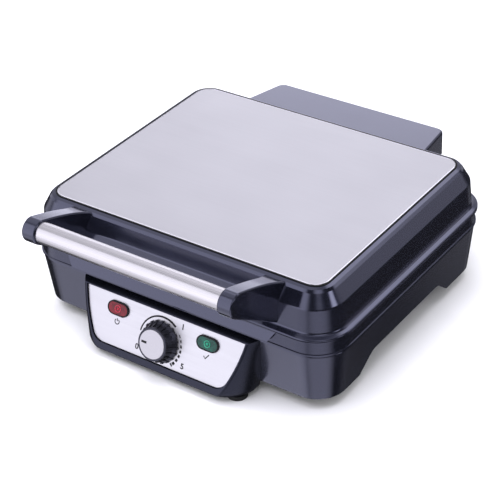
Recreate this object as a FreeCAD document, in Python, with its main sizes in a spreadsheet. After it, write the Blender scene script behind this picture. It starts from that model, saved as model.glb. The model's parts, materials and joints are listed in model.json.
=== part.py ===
import FreeCAD, Part
import math
import os

import Sketcher

# Four-slice waffle maker. Millimetres, +Z up, +X to the user's right, the user stands at -Y.
# Every body is modelled about the middle of the waffle plates and then placed so that the
# origin lies on the table under the middle of the whole appliance.

VECTOR = FreeCAD.Vector
doc = FreeCAD.newDocument("waffle_maker")

# ---------------------------------------------------------------------------
# Driving dimensions
# ---------------------------------------------------------------------------

DIMENSIONS = {
    # top plate and the stack of heights, from the table up
    "plate_width": 270,
    "plate_depth": 220,
    "plate_corner": 12.5,
    "plate_thick": 1.2,
    "plate_groove": 0.9,
    "foot_height": 12,
    "base_height": 58.5,
    "parting_gap": 0.6,
    "lid_height": 41.9,
    # how far each ring of the housings stands out past the top plate's edge
    "rim_offset": 6.6,
    "crease_offset": 13,
    "lid_wall_offset": 14.8,
    "lip_offset": 20,
    "band_offset": 18.2,
    "bead_offset": 19,
    "wall_offset": 17.9,
    "leg_offset": 13,
    # depths of those rings below the plate's top, or above and below the parting line
    "rim_step": 1.0,
    "rim_shoulder": 2,
    "rim_drop": 3.7,
    "crease_drop": 15,
    "lip_height": 3.6,
    "lip_flare": 1.6,
    "lip_groove": 0.8,
    "band_height": 10.8,
    "bead_height": 1.6,
    "groove_height": 0.8,
    "crease_round": 3,
    "edge_round": 1.2,
    # walls
    "wall": 2.6,
    "skin": 2.5,
    "ledge": 2.6,
    "clearance": 0.3,
    # legs and the open side between them
    "leg_height": 15,
    "side_front": 57,
    "side_rear": 48,
    "leg_slope": 19,
    "rear_opening": 180,
    "opening_round": 7,
    "post_drop": 4,
    "post_radius": 11,
    "post_x": 112,
    "post_y": 86,
    "foot_radius": 9,
    "foot_grip": 2,
    "pad_radius": 9,
    "pad_x": 70,
    "pad_y": 26,
    "pad_grip": 1,
    # apron: the lid's front lip reaches down into a dip in the base
    "apron_top_width": 211,
    "apron_bottom_width": 197,
    "apron_drop": 8.4,
    "apron_lean": 3.2,
    "apron_round": 5,
    # control box
    "box_half_width": 89,
    "box_bottom": 3.5,
    "box_bow": 600,
    "box_bow_rise": 103,
    "box_corner": 6,
    "box_belly": 29,
    "box_belly_tilt": 8.4,
    "box_belly_half_width": 87,
    "box_belly_height": 54,
    "box_belly_corner": 8,
    "panel_tilt": 20,
    "panel_reach": 25.5,
    "panel_drop": 16.1,
    "panel_width": 160,
    "panel_height": 44.2,
    "panel_bow": 150,
    "panel_bow_rise": 26,
    "panel_corner": 12,
    "panel_thick": 1.0,
    "panel_gap": 0.7,
    "frame_side": 2.6,
    "frame_top": 1.0,
    "frame_bottom": 6.8,
    "frame_corner": 8.5,
    "frame_proud": 1.6,
    "frame_round": 0.8,
    "box_wall": 2.4,
    "lamp_inset": 34.3,
    "lamp_drop": 11.1,
    "lamp_length": 21,
    "lamp_height": 11.6,
    "lamp_proud": 1.4,
    "neon_radius": 2.6,
    "neon_length": 7,
    # knob and thermostat
    "knob_drop": 24.9,
    "knob_base_radius": 17.4,
    "knob_waist_radius": 15.2,
    "knob_neck_radius": 13.3,
    "knob_rim_radius": 14.2,
    "knob_flange": 1.2,
    "knob_rim": 1.6,
    "knob_height": 11.6,
    "knob_gap": 0.5,
    "knob_ribs": 20,
    "rib_height": 0.9,
    "rib_width": 1.9,
    "cap_radius": 12.4,
    "cap_thick": 1.0,
    "shaft_radius": 3,
    "shaft_flat": 0.8,
    "thermostat_width": 26,
    "thermostat_height": 17,
    "thermostat_depth": 11,
    # waffle plates
    "flange_thick": 2.2,
    "cell_width": 108,
    "cell_depth": 89,
    "cell_gap": 7,
    "cavity_depth": 12.5,
    "cavity_floor": 3,
    "cell_corner": 6,
    "cavity_draft": 12,
    "peg_size": 11.5,
    "peg_height": 9,
    "peg_columns": 5,
    "peg_rows": 4,
    "peg_draft": 10,
    "element_radius": 3.3,
    "element_width": 190,
    "element_depth": 140,
    "element_bend": 28,
    "element_gap": 46,
    "reflector_sheet": 0.8,
    "reflector_offset": 7,
    "reflector_depth": 23,
    # handle
    "tube_radius": 9,
    "tube_wall": 1.4,
    "tube_reach": 61.2,
    "tube_rise": 8.8,
    "arm_spacing": 179,
    "arm_thick": 13.5,
    "arm_root_thick": 21,
    "arm_nose": 10.8,
    "arm_arch": 420,
    "arm_foot": 6,
    "arm_flare_radius": 60,
    "arm_round": 1.5,
    "socket_depth": 3,
    # hinge
    "hinge_reach": 40,
    "hinge_rise": 6,
    "pin_radius": 3,
    "pin_fit": 0.05,
    "knuckle_radius": 8,
    "ear_spacing": 122,
    "ear_thick": 6,
    "knuckle_gap": 1,
    "lug_plate": 2.4,
    "cover_front_width": 192,
    "cover_rear_width": 175,
    "cover_reach": 57.5,
    "cover_drop": 6.3,
    "cover_slope": 3.6,
    "cover_skirt": 22,
    "cover_corner": 8,
    "cover_wall": 2.4,
    # cord inlet and screws
    "inlet_x": -100,
    "inlet_height": 40,
    "inlet_radius": 8,
    "inlet_bore": 3.6,
    "screw_radius": 1.6,
    "screw_head": 3.4,
    "screw_length": 12,
    "screw_x": 140.5,
    "screw_y": 40,
}

sheet = doc.addObject("Spreadsheet::Sheet", "Sizes")
for row, (alias, number) in enumerate(DIMENSIONS.items(), start=1):
    sheet.set(f"A{row}", alias)
    sheet.set(f"B{row}", str(number))
    sheet.setAlias(f"B{row}", alias)
doc.recompute()


def cells(formula):
    """Write a formula in sheet aliases as an expression that any object of the document can use."""
    words = []
    word = ""
    for mark in formula + " ":
        if mark.isalnum() or mark == "_":
            word += mark
            continue
        words.append(f"Sizes.{word}" if word in DIMENSIONS else word)
        words.append(mark)
        word = ""
    return "".join(words).strip()


def size(formula):
    """The present value of a formula in sheet aliases."""
    result = sheet.evalExpression(cells(formula))
    return float(getattr(result, "Value", result))


# Heights above the table.
LEG = "foot_height"
PARTING = "(foot_height + base_height)"
LID_LOW = f"({PARTING} + parting_gap)"
TOP = f"({LID_LOW} + lid_height)"
SIDE_TOP = f"({LEG} + leg_height)"
COVER_TOP = f"({SIDE_TOP} + ledge)"
BEAD = f"({PARTING} - band_height)"
GROOVE = f"({BEAD} - bead_height - groove_height * 1.5)"
# Places in plan, measured from the middle of the plates.
REAR_WALL = "(plate_depth / 2 + lid_wall_offset)"
FRONT_WALL = f"(-{REAR_WALL})"
TUBE_Y = "(-plate_depth / 2 - tube_reach)"
TUBE_Z = f"({TOP} + tube_rise)"
ARM_END = "(rim_offset - rim_shoulder)"
HINGE_Y = "(plate_depth / 2 + hinge_reach)"
HINGE_Z = f"({LID_LOW} + hinge_rise)"
COVER_REAR = "(plate_depth / 2 + cover_reach)"
# The whole appliance runs from the handle's nose to the back of the hinge cover.
CENTRE_SHIFT = f"((arm_nose - {TUBE_Y} - {COVER_REAR}) / 2)"
# The control panel's plane passes through its top edge and leans out towards the table.
PANEL_Y = "(-plate_depth / 2 - panel_reach)"
PANEL_Z = f"({PARTING} - panel_drop)"
PAD_Y = "(-plate_depth / 2 - pad_y)"

FORWARD = "XZ_Plane"  # sketch x = X, sketch y = Z, normal = -Y
SIDE = "YZ_Plane"  # sketch x = Y, sketch y = Z, normal = +X
PLAN = "XY_Plane"  # sketch x = X, sketch y = Y, normal = +Z


# ---------------------------------------------------------------------------
# Helpers for bodies, sketches and features
# ---------------------------------------------------------------------------


def new_body(name):
    body = doc.addObject("PartDesign::Body", name)
    body.Label = name
    body.setExpression("Placement.Base.y", cells(CENTRE_SHIFT))
    return body


def sketch_on(body, role, offset="0", tilt=None, rise="0"):
    """An empty sketch on one of the body's own planes, moved along its normal and tilted about its x axis."""
    sketch = body.newObject("Sketcher::SketchObject", "Sketch")
    plane = next(f for f in body.Origin.OriginFeatures if f.Role == role)
    sketch.AttachmentSupport = [(plane, "")]
    sketch.MapMode = "FlatFace"
    if tilt is not None:
        sketch.AttachmentOffset = FreeCAD.Placement(VECTOR(), FreeCAD.Rotation(VECTOR(1, 0, 0), -size(tilt)))
        sketch.setExpression("AttachmentOffset.Rotation.Angle", cells(f"-({tilt})"))
    sketch.setExpression("AttachmentOffset.Base.y", cells(rise))
    sketch.setExpression("AttachmentOffset.Base.z", cells(offset))
    return sketch


def drive(sketch, kind, where, formula):
    """Add a dimension and bind it to the sheet."""
    index = sketch.addConstraint(Sketcher.Constraint(kind, *where, size(formula)))
    sketch.setExpression(f"Constraints[{index}]", cells(formula))


def place(sketch, edge, end, x, y):
    """Fix one end (1 start, 2 end, 3 centre) of an edge at x, y from the sketch's origin."""
    drive(sketch, "DistanceX", (edge, end), x)
    drive(sketch, "DistanceY", (edge, end), y)


def rounded_rectangle(sketch, width, depth, radius):
    """A rounded rectangle about the sketch's origin."""
    x = size(width) / 2
    y = size(depth) / 2
    r = size(radius)
    ends = [(-x + r, -y), (x - r, -y), (x, -y + r), (x, y - r), (x - r, y), (-x + r, y), (-x, y - r), (-x, -y + r)]
    for k in range(0, 8, 2):
        sketch.addGeometry(Part.LineSegment(VECTOR(*ends[k], 0), VECTOR(*ends[k + 1], 0)), False)
    for quarter, (cx, cy) in enumerate(((x - r, -y + r), (x - r, y - r), (-x + r, y - r), (-x + r, -y + r))):
        circle = Part.Circle(VECTOR(cx, cy, 0), VECTOR(0, 0, 1), r)
        start = math.pi / 2 * (quarter - 1)
        sketch.addGeometry(Part.ArcOfCircle(circle, start, start + math.pi / 2), False)
    for k in range(4):
        sketch.addConstraint(Sketcher.Constraint("Tangent", k, 2, 4 + k, 1))
        sketch.addConstraint(Sketcher.Constraint("Tangent", 4 + k, 2, (k + 1) % 4, 1))
        sketch.addConstraint(Sketcher.Constraint("Vertical" if k % 2 else "Horizontal", k))
    for k in (5, 6, 7):
        sketch.addConstraint(Sketcher.Constraint("Equal", 4, k))
    sketch.addConstraint(Sketcher.Constraint("Symmetric", 4, 3, 6, 3, -1, 1))
    drive(sketch, "DistanceX", (3, 1, 1, 1), width)
    drive(sketch, "DistanceY", (0, 1, 2, 1), depth)
    drive(sketch, "Radius", (4,), radius)


def outline(sketch, corners):
    """A closed outline of straight edges whose corners sit at the given formulas."""
    spots = [VECTOR(size(x), size(y), 0) for x, y in corners]
    count = len(spots)
    for k in range(count):
        sketch.addGeometry(Part.LineSegment(spots[k], spots[(k + 1) % count]), False)
    for k, (x, y) in enumerate(corners):
        sketch.addConstraint(Sketcher.Constraint("Coincident", k - 1 if k else count - 1, 2, k, 1))
        place(sketch, k, 1, x, y)


def sketch_line(sketch, start, end):
    sketch.addGeometry(Part.LineSegment(start, end), False)


def sketch_arc(sketch, x, y, radius, start, end):
    """An arc about x, y that runs anticlockwise between two angles in radians."""
    whole = Part.Circle(VECTOR(x, y, 0), VECTOR(0, 0, 1), radius)
    sketch.addGeometry(Part.ArcOfCircle(whole, start, end), False)


def circle(sketch, x, y, radius):
    edge = sketch.addGeometry(Part.Circle(VECTOR(size(x), size(y), 0), VECTOR(0, 0, 1), size(radius)), False)
    place(sketch, edge, 3, x, y)
    drive(sketch, "Radius", (edge,), radius)


def ring(body, offset, height):
    """A rounded rectangle that stands `offset` outside the top plate's edge."""
    sketch = sketch_on(body, PLAN, height)
    rounded_rectangle(
        sketch, f"plate_width + 2 * ({offset})", f"plate_depth + 2 * ({offset})", f"plate_corner + ({offset})"
    )
    return sketch


def finish(feature, role):
    feature.Label = f"{feature.getParentGeoFeatureGroup().Label} {role}"
    doc.recompute()
    if not feature.isValid() or feature.Shape.isNull():
        raise RuntimeError(f"{feature.Label}: {feature.getStatusString()}")
    return feature


def loft(body, kind, sketches, role, ruled=True):
    feature = body.newObject(f"PartDesign::{kind}Loft", kind)
    feature.Profile = sketches[0]
    feature.Sections = sketches[1:]
    feature.Ruled = ruled
    return finish(feature, role)


def ring_stack(body, kind, rings, role):
    """A loft through rings listed from the bottom up; it is built from the top down, as fillets need."""
    return loft(body, kind, [ring(body, offset, height) for offset, height in reversed(rings)], role)


def pad(body, sketch, length, role, back=False, middle=False, draft=None):
    feature = body.newObject("PartDesign::Pad", "Pad")
    feature.Profile = sketch
    feature.setExpression("Length", cells(length))
    feature.Reversed = back
    feature.SideType = "Symmetric" if middle else "One side"
    if draft:
        feature.setExpression("TaperAngle", cells(draft))
    return finish(feature, role)


def pocket(body, sketch, length, role, back=False, middle=False, draft=None):
    """Cut the sketch into the body against its normal, or along it with back=True."""
    before = body.Shape.Volume
    feature = body.newObject("PartDesign::Pocket", "Pocket")
    feature.Profile = sketch
    feature.setExpression("Length", cells(length))
    feature.Reversed = back
    feature.SideType = "Symmetric" if middle else "One side"
    if draft:
        feature.setExpression("TaperAngle", cells(draft))
    finish(feature, role)
    if feature.Shape.Volume > before - 1e-3:
        raise RuntimeError(f"{feature.Label} removes nothing")
    return feature


def turn(body, kind, sketch, role):
    """Revolve or groove the sketch round its own vertical axis."""
    feature = body.newObject(f"PartDesign::{kind}", kind)
    feature.Profile = sketch
    feature.ReferenceAxis = (sketch, ["V_Axis"])
    feature.Angle = 360
    return finish(feature, role)


def edges_of(feature, test):
    """Names of the feature's edges that pass a test on their shape."""
    return [f"Edge{n}" for n, edge in enumerate(feature.Shape.Edges, start=1) if test(edge)]


def blend(body, base, names, radius, role, kind="Fillet"):
    feature = body.newObject(f"PartDesign::{kind}", kind)
    feature.Base = (base, names)
    feature.setExpression("Radius" if kind == "Fillet" else "Size", cells(radius))
    return finish(feature, role)


def level(height, near=0.02):
    """Test for edges that lie flat at a height in the body's own frame."""
    z = size(height)
    return lambda edge: abs(edge.BoundBox.ZMin - z) < near and abs(edge.BoundBox.ZMax - z) < near


def along(axis, minimum=0.5):
    """Test for straight edges that run along one axis."""

    def test(edge):
        box = edge.BoundBox
        spans = {"x": box.XLength, "y": box.YLength, "z": box.ZLength}
        return spans.pop(axis) > minimum and max(spans.values()) < 1e-3

    return test


# ---------------------------------------------------------------------------
# Base
# ---------------------------------------------------------------------------


def apron_outline(sketch, grow, top, bottom):
    """The lid apron's outline seen from the front; the dip in the base is the same, grown by a clearance."""
    outline(
        sketch,
        [
            (f"-apron_top_width / 2 - ({grow})", top),
            (f"-apron_bottom_width / 2 - ({grow})", bottom),
            (f"apron_bottom_width / 2 + ({grow})", bottom),
            (f"apron_top_width / 2 + ({grow})", top),
        ],
    )


def make_lower_housing():
    body = new_body("lower_housing")
    skin = ring_stack(
        body,
        "Additive",
        [
            ("leg_offset", LEG),
            ("wall_offset", GROOVE),
            ("wall_offset - 1", f"{GROOVE} + groove_height * 0.4"),
            ("wall_offset - 1", f"{GROOVE} + groove_height"),
            ("bead_offset", f"{BEAD} - bead_height"),
            ("bead_offset", BEAD),
            ("band_offset", f"{BEAD} + groove_height / 2"),
            ("band_offset - 1", PARTING),
        ],
        "skin",
    )
    blend(body, skin, edges_of(skin, level(GROOVE)), "edge_round", "wall top round")
    # The plate's flange drops into the rim; the cover closes the underside against a ledge.
    seat = ring(body, "band_offset - wall - 1", f"{PARTING} - flange_thick - clearance")
    pocket(body, seat, "flange_thick * 2", "plate seat", back=True)
    ring_stack(
        body,
        "Subtractive",
        [
            ("leg_offset - wall - ledge", COVER_TOP),
            ("wall_offset - wall - ledge", f"{PARTING} - flange_thick"),
        ],
        "chamber",
    )
    skirt = ring(body, "leg_offset - wall", COVER_TOP)
    pocket(body, skirt, f"{COVER_TOP}", "skirt")
    # Bosses for the cover screws run down the inside of the side walls.
    for side in (-1, 1):
        for end in (-1, 1):
            boss = sketch_on(body, PLAN, COVER_TOP)
            circle(boss, f"{side} * screw_x", f"{end} * screw_y", "screw_radius * 3")
            pad(body, boss, "screw_length + 4", "screw boss")
            hole = sketch_on(body, PLAN, COVER_TOP)
            circle(hole, f"{side} * screw_x", f"{end} * screw_y", "screw_radius + pin_fit")
            pocket(body, hole, "screw_length + 1", "screw hole", back=True)
    # Open sides and back between the legs.
    opening = sketch_on(body, SIDE)
    outline(
        opening,
        [
            ("-side_front - leg_slope * 1.2", f"{LEG} - leg_height / 5"),
            ("side_rear + leg_slope * 1.2", f"{LEG} - leg_height / 5"),
            ("side_rear", SIDE_TOP),
            ("-side_front", SIDE_TOP),
        ],
    )
    sides = pocket(body, opening, "plate_width * 2", "side openings", middle=True)
    upper = edges_of(sides, lambda e: along("x")(e) and level(SIDE_TOP)(e) and e.CenterOfMass.y > -size("plate_depth"))
    blend(body, sides, upper, "opening_round", "opening corners")
    back = sketch_on(body, FORWARD, "-plate_depth / 2")
    outline(
        back,
        [
            ("-rear_opening / 2 - leg_slope / 2", f"{LEG} - 1"),
            ("rear_opening / 2 + leg_slope / 2", f"{LEG} - 1"),
            ("rear_opening / 2", SIDE_TOP),
            ("-rear_opening / 2", SIDE_TOP),
        ],
    )
    pocket(body, back, "leg_offset * 2", "back opening", back=False)
    # The dip that the lid's apron closes.
    dip = sketch_on(body, FORWARD, "plate_depth / 2 + band_offset - wall - 1.5")
    apron_outline(dip, "clearance", f"{PARTING} + 1", f"{PARTING} - apron_drop - clearance")
    cut = pocket(body, dip, "wall * 3", "apron dip", back=True)
    low = level(f"{PARTING} - apron_drop - clearance")
    corners = edges_of(cut, lambda e: low(e) and e.BoundBox.XLength < 1e-3 and e.CenterOfMass.y < size(FRONT_WALL))
    blend(body, cut, corners, "apron_round + clearance", "dip corners")
    # Cord inlet.
    inlet = sketch_on(body, FORWARD, "-plate_depth / 2")
    circle(inlet, "inlet_x", "inlet_height", "inlet_radius")
    pocket(body, inlet, "leg_offset * 2", "cord inlet", back=False)


def make_bottom_cover():
    body = new_body("bottom_cover")
    sheet_ring = ring(body, "leg_offset - wall - clearance", f"{COVER_TOP} - ledge")
    pad(body, sheet_ring, "ledge - clearance / 3", "panel")
    for side in (-1, 1):
        for end in (-1, 1):
            post = sketch_on(body, PLAN, f"{LEG} - post_drop")
            circle(post, f"{side} * post_x", f"{end} * post_y", "post_radius")
            pad(body, post, f"{COVER_TOP} - ledge - {LEG} + post_drop", "foot post")
            seat = sketch_on(body, PLAN, f"{LEG} - post_drop")
            circle(seat, f"{side} * post_x", f"{end} * post_y", "foot_radius + clearance / 3")
            pocket(body, seat, "foot_grip", "foot seat", back=True)
            hole = sketch_on(body, PLAN, f"{COVER_TOP} - ledge")
            circle(hole, f"{side} * screw_x", f"{end} * screw_y", "screw_radius + clearance")
            pocket(body, hole, "ledge", "screw clearance hole", back=True)


def make_rubber_feet():
    """Tall feet in the posts of the bottom cover, and two thin pads under the control box."""
    feet = []
    tall = f"{LEG} - post_drop + foot_grip - clearance / 3"
    places = [(f"{side} * post_x", f"{end} * post_y", "foot_radius", tall) for side in (-1, 1) for end in (-1, 1)]
    places += [(f"{side} * pad_x", PAD_Y, "pad_radius", "box_bottom + pad_grip - clearance / 3") for side in (-1, 1)]
    for x, y, radius, height in places:
        foot = doc.addObject("Part::Cone", "Foot")
        foot.setExpression("Radius1", cells(f"{radius} * 0.94"))
        foot.setExpression("Radius2", cells(radius))
        foot.setExpression("Height", cells(height))
        foot.setExpression("Placement.Base.x", cells(x))
        foot.setExpression("Placement.Base.y", cells(y))
        feet.append(foot)
    group(feet, "rubber_feet")


def group(members, name):
    """Separate solids kept as one node."""
    compound = doc.addObject("Part::Compound", name)
    compound.Label = name
    compound.Links = members
    compound.setExpression("Placement.Base.y", cells(CENTRE_SHIFT))
    doc.recompute()
    return compound


# ---------------------------------------------------------------------------
# Control box on the front of the base
# ---------------------------------------------------------------------------

# Distances along the tilted panel are measured down from its top edge.


def panel_sketch(body, proud="0"):
    """A sketch in the panel's plane: x across, y up the slope, origin at the middle of the top edge."""
    offset = f"-{PANEL_Y} + ({proud}) * cos(panel_tilt * 1deg)"
    rise = f"{PANEL_Z} + ({proud}) * sin(panel_tilt * 1deg)"
    return sketch_on(body, FORWARD, offset, "panel_tilt", rise)


def shield(sketch, top, half_top, bottom, bow_radius, bow_rise, corner):
    """The panel's shield shape: straight top and foot, sides that bow outwards, rounded lower corners."""
    x1, y1, y2, bow, cy, r = (size(f) for f in (half_top, top, bottom, bow_radius, bow_rise, corner))
    cx = x1 - math.sqrt(bow * bow - (cy - y1) ** 2)
    ry = y2 + r
    rx = cx + math.sqrt((bow - r) ** 2 - (cy - ry) ** 2)
    high = math.atan2(y1 - cy, x1 - cx)
    low = math.atan2(ry - cy, rx - cx)
    sketch_line(sketch, VECTOR(x1, y1, 0), VECTOR(-x1, y1, 0))
    sketch_arc(sketch, -cx, cy, bow, math.pi - high, math.pi - low)
    sketch_arc(sketch, -rx, ry, r, math.pi - low, math.pi * 1.5)
    sketch_line(sketch, VECTOR(-rx, y2, 0), VECTOR(rx, y2, 0))
    sketch_arc(sketch, rx, ry, r, -math.pi / 2, low)
    sketch_arc(sketch, cx, cy, bow, low, high)
    sketch.addConstraint(Sketcher.Constraint("Coincident", 0, 2, 1, 1))
    sketch.addConstraint(Sketcher.Constraint("Coincident", 5, 2, 0, 1))
    for edge in (1, 2, 3, 4):
        sketch.addConstraint(Sketcher.Constraint("Tangent", edge, 2, edge + 1, 1))
    place(sketch, 0, 1, half_top, top)
    place(sketch, 0, 2, f"-({half_top})", top)
    sketch.addConstraint(Sketcher.Constraint("Horizontal", 3))
    drive(sketch, "DistanceY", (3, 1), bottom)
    for arc, radius in ((1, bow_radius), (5, bow_radius), (2, corner), (4, corner)):
        drive(sketch, "Radius", (arc,), radius)
    for arc in (1, 5):
        drive(sketch, "DistanceY", (arc, 3), bow_rise)


def slot(sketch, x, y, length, height):
    """A stadium, long axis along x."""
    r = size(height) / 2
    cx, cy = size(x), size(y)
    half = size(length) / 2 - r
    sketch.addGeometry(Part.LineSegment(VECTOR(cx - half, cy - r, 0), VECTOR(cx + half, cy - r, 0)), False)
    right = Part.Circle(VECTOR(cx + half, cy, 0), VECTOR(0, 0, 1), r)
    sketch.addGeometry(Part.ArcOfCircle(right, -math.pi / 2, math.pi / 2), False)
    sketch.addGeometry(Part.LineSegment(VECTOR(cx + half, cy + r, 0), VECTOR(cx - half, cy + r, 0)), False)
    left = Part.Circle(VECTOR(cx - half, cy, 0), VECTOR(0, 0, 1), r)
    sketch.addGeometry(Part.ArcOfCircle(left, math.pi / 2, math.pi * 1.5), False)
    for a, b in ((0, 1), (1, 2), (2, 3), (3, 0)):
        sketch.addConstraint(Sketcher.Constraint("Tangent", a, 2, b, 1))
    place(sketch, 1, 3, f"({x}) + (({length}) - ({height})) / 2", y)
    drive(sketch, "DistanceX", (3, 3), f"({x}) - (({length}) - ({height})) / 2")
    sketch.addConstraint(Sketcher.Constraint("Horizontal", 0))
    drive(sketch, "Radius", (1,), f"({height}) / 2")


def panel_seat(sketch, grow, top="0", foot="0", corner=None):
    """The panel's outline grown sideways by `grow`, its top edge raised and its foot lowered."""
    shield(
        sketch,
        f"{grow} + {top}",
        f"panel_width / 2 + ({grow})",
        f"-panel_height - ({grow}) - ({foot})",
        f"panel_bow + ({grow})",
        "panel_bow_rise",
        corner or f"panel_corner + ({grow})",
    )


def wall_sketch(body):
    """A sketch on the base's drafted front wall: x across, y up the wall from the box's lower edge."""
    run = f"({GROOVE} - {LEG})"
    flare_out = "(wall_offset - leg_offset)"
    reach = f"plate_depth / 2 + leg_offset + {flare_out} * (box_bottom - {LEG}) / {run} + clearance / 3"
    return sketch_on(body, FORWARD, reach, f"-atan({flare_out} / {run}) / 1deg", "box_bottom")


def box_sections(body, inset):
    """The box's outline on the base's wall, through its belly and in the panel's plane, moved in by `inset`."""
    back = wall_sketch(body)
    shield(
        back, f"{GROOVE} - box_bottom - ({inset})", f"box_half_width - ({inset})", inset,
        f"box_bow - ({inset})", "box_bow_rise", f"box_corner - ({inset})",
    )
    belly = sketch_on(body, FORWARD, "plate_depth / 2 + box_belly", "box_belly_tilt", "box_bottom")
    shield(
        belly, f"box_belly_height - ({inset})", f"box_belly_half_width - ({inset})", inset,
        f"box_bow - ({inset})", "box_bow_rise", f"box_belly_corner - ({inset})",
    )
    return [back, belly]


def make_control_housing():
    body = new_body("control_housing")
    sections = box_sections(body, "0")
    face = panel_sketch(body, "frame_proud")
    panel_seat(face, "frame_side", "frame_top - frame_side", "frame_bottom - frame_side", "frame_corner")
    shell = loft(body, "Additive", sections + [face], "shell", ruled=False)
    rim = edges_of(shell, lambda edge: plane_gap(edge, "frame_proud") < 1e-3)
    blend(body, shell, rim, "frame_round", "frame edge", kind="Chamfer")
    sections = box_sections(body, "box_wall")
    face = panel_sketch(body, "-panel_thick")
    panel_seat(face, "-box_wall")
    loft(body, "Subtractive", sections + [face], "inside", ruled=False)
    recess = panel_sketch(body, "frame_proud")
    panel_seat(recess, "panel_gap")
    pocket(body, recess, "frame_proud + panel_thick", "panel recess")
    for side in (-1, 1):
        seat = sketch_on(body, PLAN)
        circle(seat, f"{side} * pad_x", PAD_Y, "pad_radius + clearance / 3")
        pocket(body, seat, "box_bottom + pad_grip", "pad seat", back=True)


def plane_gap(edge, proud):
    """Greatest distance of an edge's ends from the plane that stands `proud` of the panel."""
    tilt = math.radians(size("panel_tilt"))
    normal = VECTOR(0, -math.cos(tilt), math.sin(tilt))
    origin = VECTOR(0, size(PANEL_Y), size(PANEL_Z)) + normal * size(proud)
    return max(abs((vertex.Point - origin).dot(normal)) for vertex in edge.Vertexes)


def make_control_panel():
    body = new_body("control_panel")
    face = panel_sketch(body)
    panel_seat(face, "0")
    pad(body, face, "panel_thick", "sheet", back=True)
    for side in (-1, 1):
        window = panel_sketch(body)
        slot(window, f"{side} * (panel_width / 2 - lamp_inset)", "-lamp_drop", "lamp_length", "lamp_height")
        pocket(body, window, "panel_thick * 2", "lamp window")
    hole = panel_sketch(body)
    circle(hole, "0", "-knob_drop", "shaft_radius + clearance * 2")
    pocket(body, hole, "panel_thick * 2", "shaft hole")


def make_lamp(name, side):
    body = new_body(f"{name}_lamp_lens")
    dome = panel_sketch(body, "lamp_proud")
    slot(dome, f"{side} * (panel_width / 2 - lamp_inset)", "-lamp_drop", "lamp_length - clearance", "lamp_height - clearance")
    lens = pad(body, dome, "lamp_proud + panel_thick + 1", "lens", back=True)
    rim = edges_of(lens, lambda edge: plane_gap(edge, "lamp_proud") < 1e-3)
    blend(body, lens, rim, "lamp_proud * 0.5", "soft edge", kind="Chamfer")
    bulb = panel_sketch(new_body(f"{name}_lamp_bulb"), "-panel_thick - 1")
    circle(bulb, f"{side} * (panel_width / 2 - lamp_inset)", "-lamp_drop", "neon_radius")
    pad(bulb.getParentGeoFeatureGroup(), bulb, "neon_length", "bulb", back=True)


def make_thermostat():
    body = new_body("thermostat")
    base = panel_sketch(body, "-panel_thick - clearance")
    outline(
        base,
        [
            ("-thermostat_width / 2", "-knob_drop - thermostat_height / 2"),
            ("thermostat_width / 2", "-knob_drop - thermostat_height / 2"),
            ("thermostat_width / 2", "-knob_drop + thermostat_height / 2"),
            ("-thermostat_width / 2", "-knob_drop + thermostat_height / 2"),
        ],
    )
    pad(body, base, "thermostat_depth", "body", back=True)
    bore = panel_sketch(body)
    circle(bore, "0", "-knob_drop", "shaft_radius + pin_fit")
    pocket(body, bore, "thermostat_depth * 0.7", "shaft bore")

    shaft = new_body("thermostat_shaft")
    stem = panel_sketch(shaft, "knob_height - cap_thick - 2")
    circle(stem, "0", "-knob_drop", "shaft_radius")
    pad(shaft, stem, "knob_height - cap_thick - 2 + panel_thick + thermostat_depth * 0.5", "stem", back=True)
    flat = panel_sketch(shaft, "knob_height")
    outline(
        flat,
        [
            ("-shaft_radius * 1.5", "-knob_drop + shaft_radius - shaft_flat"),
            ("shaft_radius * 1.5", "-knob_drop + shaft_radius - shaft_flat"),
            ("shaft_radius * 1.5", "-knob_drop + shaft_radius * 2"),
            ("-shaft_radius * 1.5", "-knob_drop + shaft_radius * 2"),
        ],
    )
    pocket(shaft, flat, "knob_height - knob_gap", "flat")


def knob_profile(body, inner, grow, low, high):
    """A sketch in a plane through the knob's axis: x is the radius, y the height above the panel."""
    sketch = body.newObject("Sketcher::SketchObject", "Sketch")
    plane = next(f for f in body.Origin.OriginFeatures if f.Role == SIDE)
    sketch.AttachmentSupport = [(plane, "")]
    sketch.MapMode = "FlatFace"
    turn_by = "90 - panel_tilt"
    sketch.AttachmentOffset = FreeCAD.Placement(VECTOR(), FreeCAD.Rotation(VECTOR(0, 0, 1), size(turn_by)))
    sketch.setExpression("AttachmentOffset.Rotation.Angle", cells(turn_by))
    sketch.setExpression("AttachmentOffset.Base.x", cells(f"{PANEL_Y} - knob_drop * sin(panel_tilt * 1deg)"))
    sketch.setExpression("AttachmentOffset.Base.y", cells(f"{PANEL_Z} - knob_drop * cos(panel_tilt * 1deg)"))
    outline(
        sketch,
        [
            (inner, low),
            (f"knob_base_radius + {grow}", low),
            (f"knob_base_radius + {grow}", "knob_gap + knob_flange"),
            (f"knob_waist_radius + {grow}", "knob_gap + (knob_height - knob_rim) / 3"),
            (f"knob_neck_radius + {grow}", f"knob_height - knob_rim * 1.5"),
            (f"knob_neck_radius + {grow}", high),
            (inner, high),
        ],
    )
    return sketch


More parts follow.
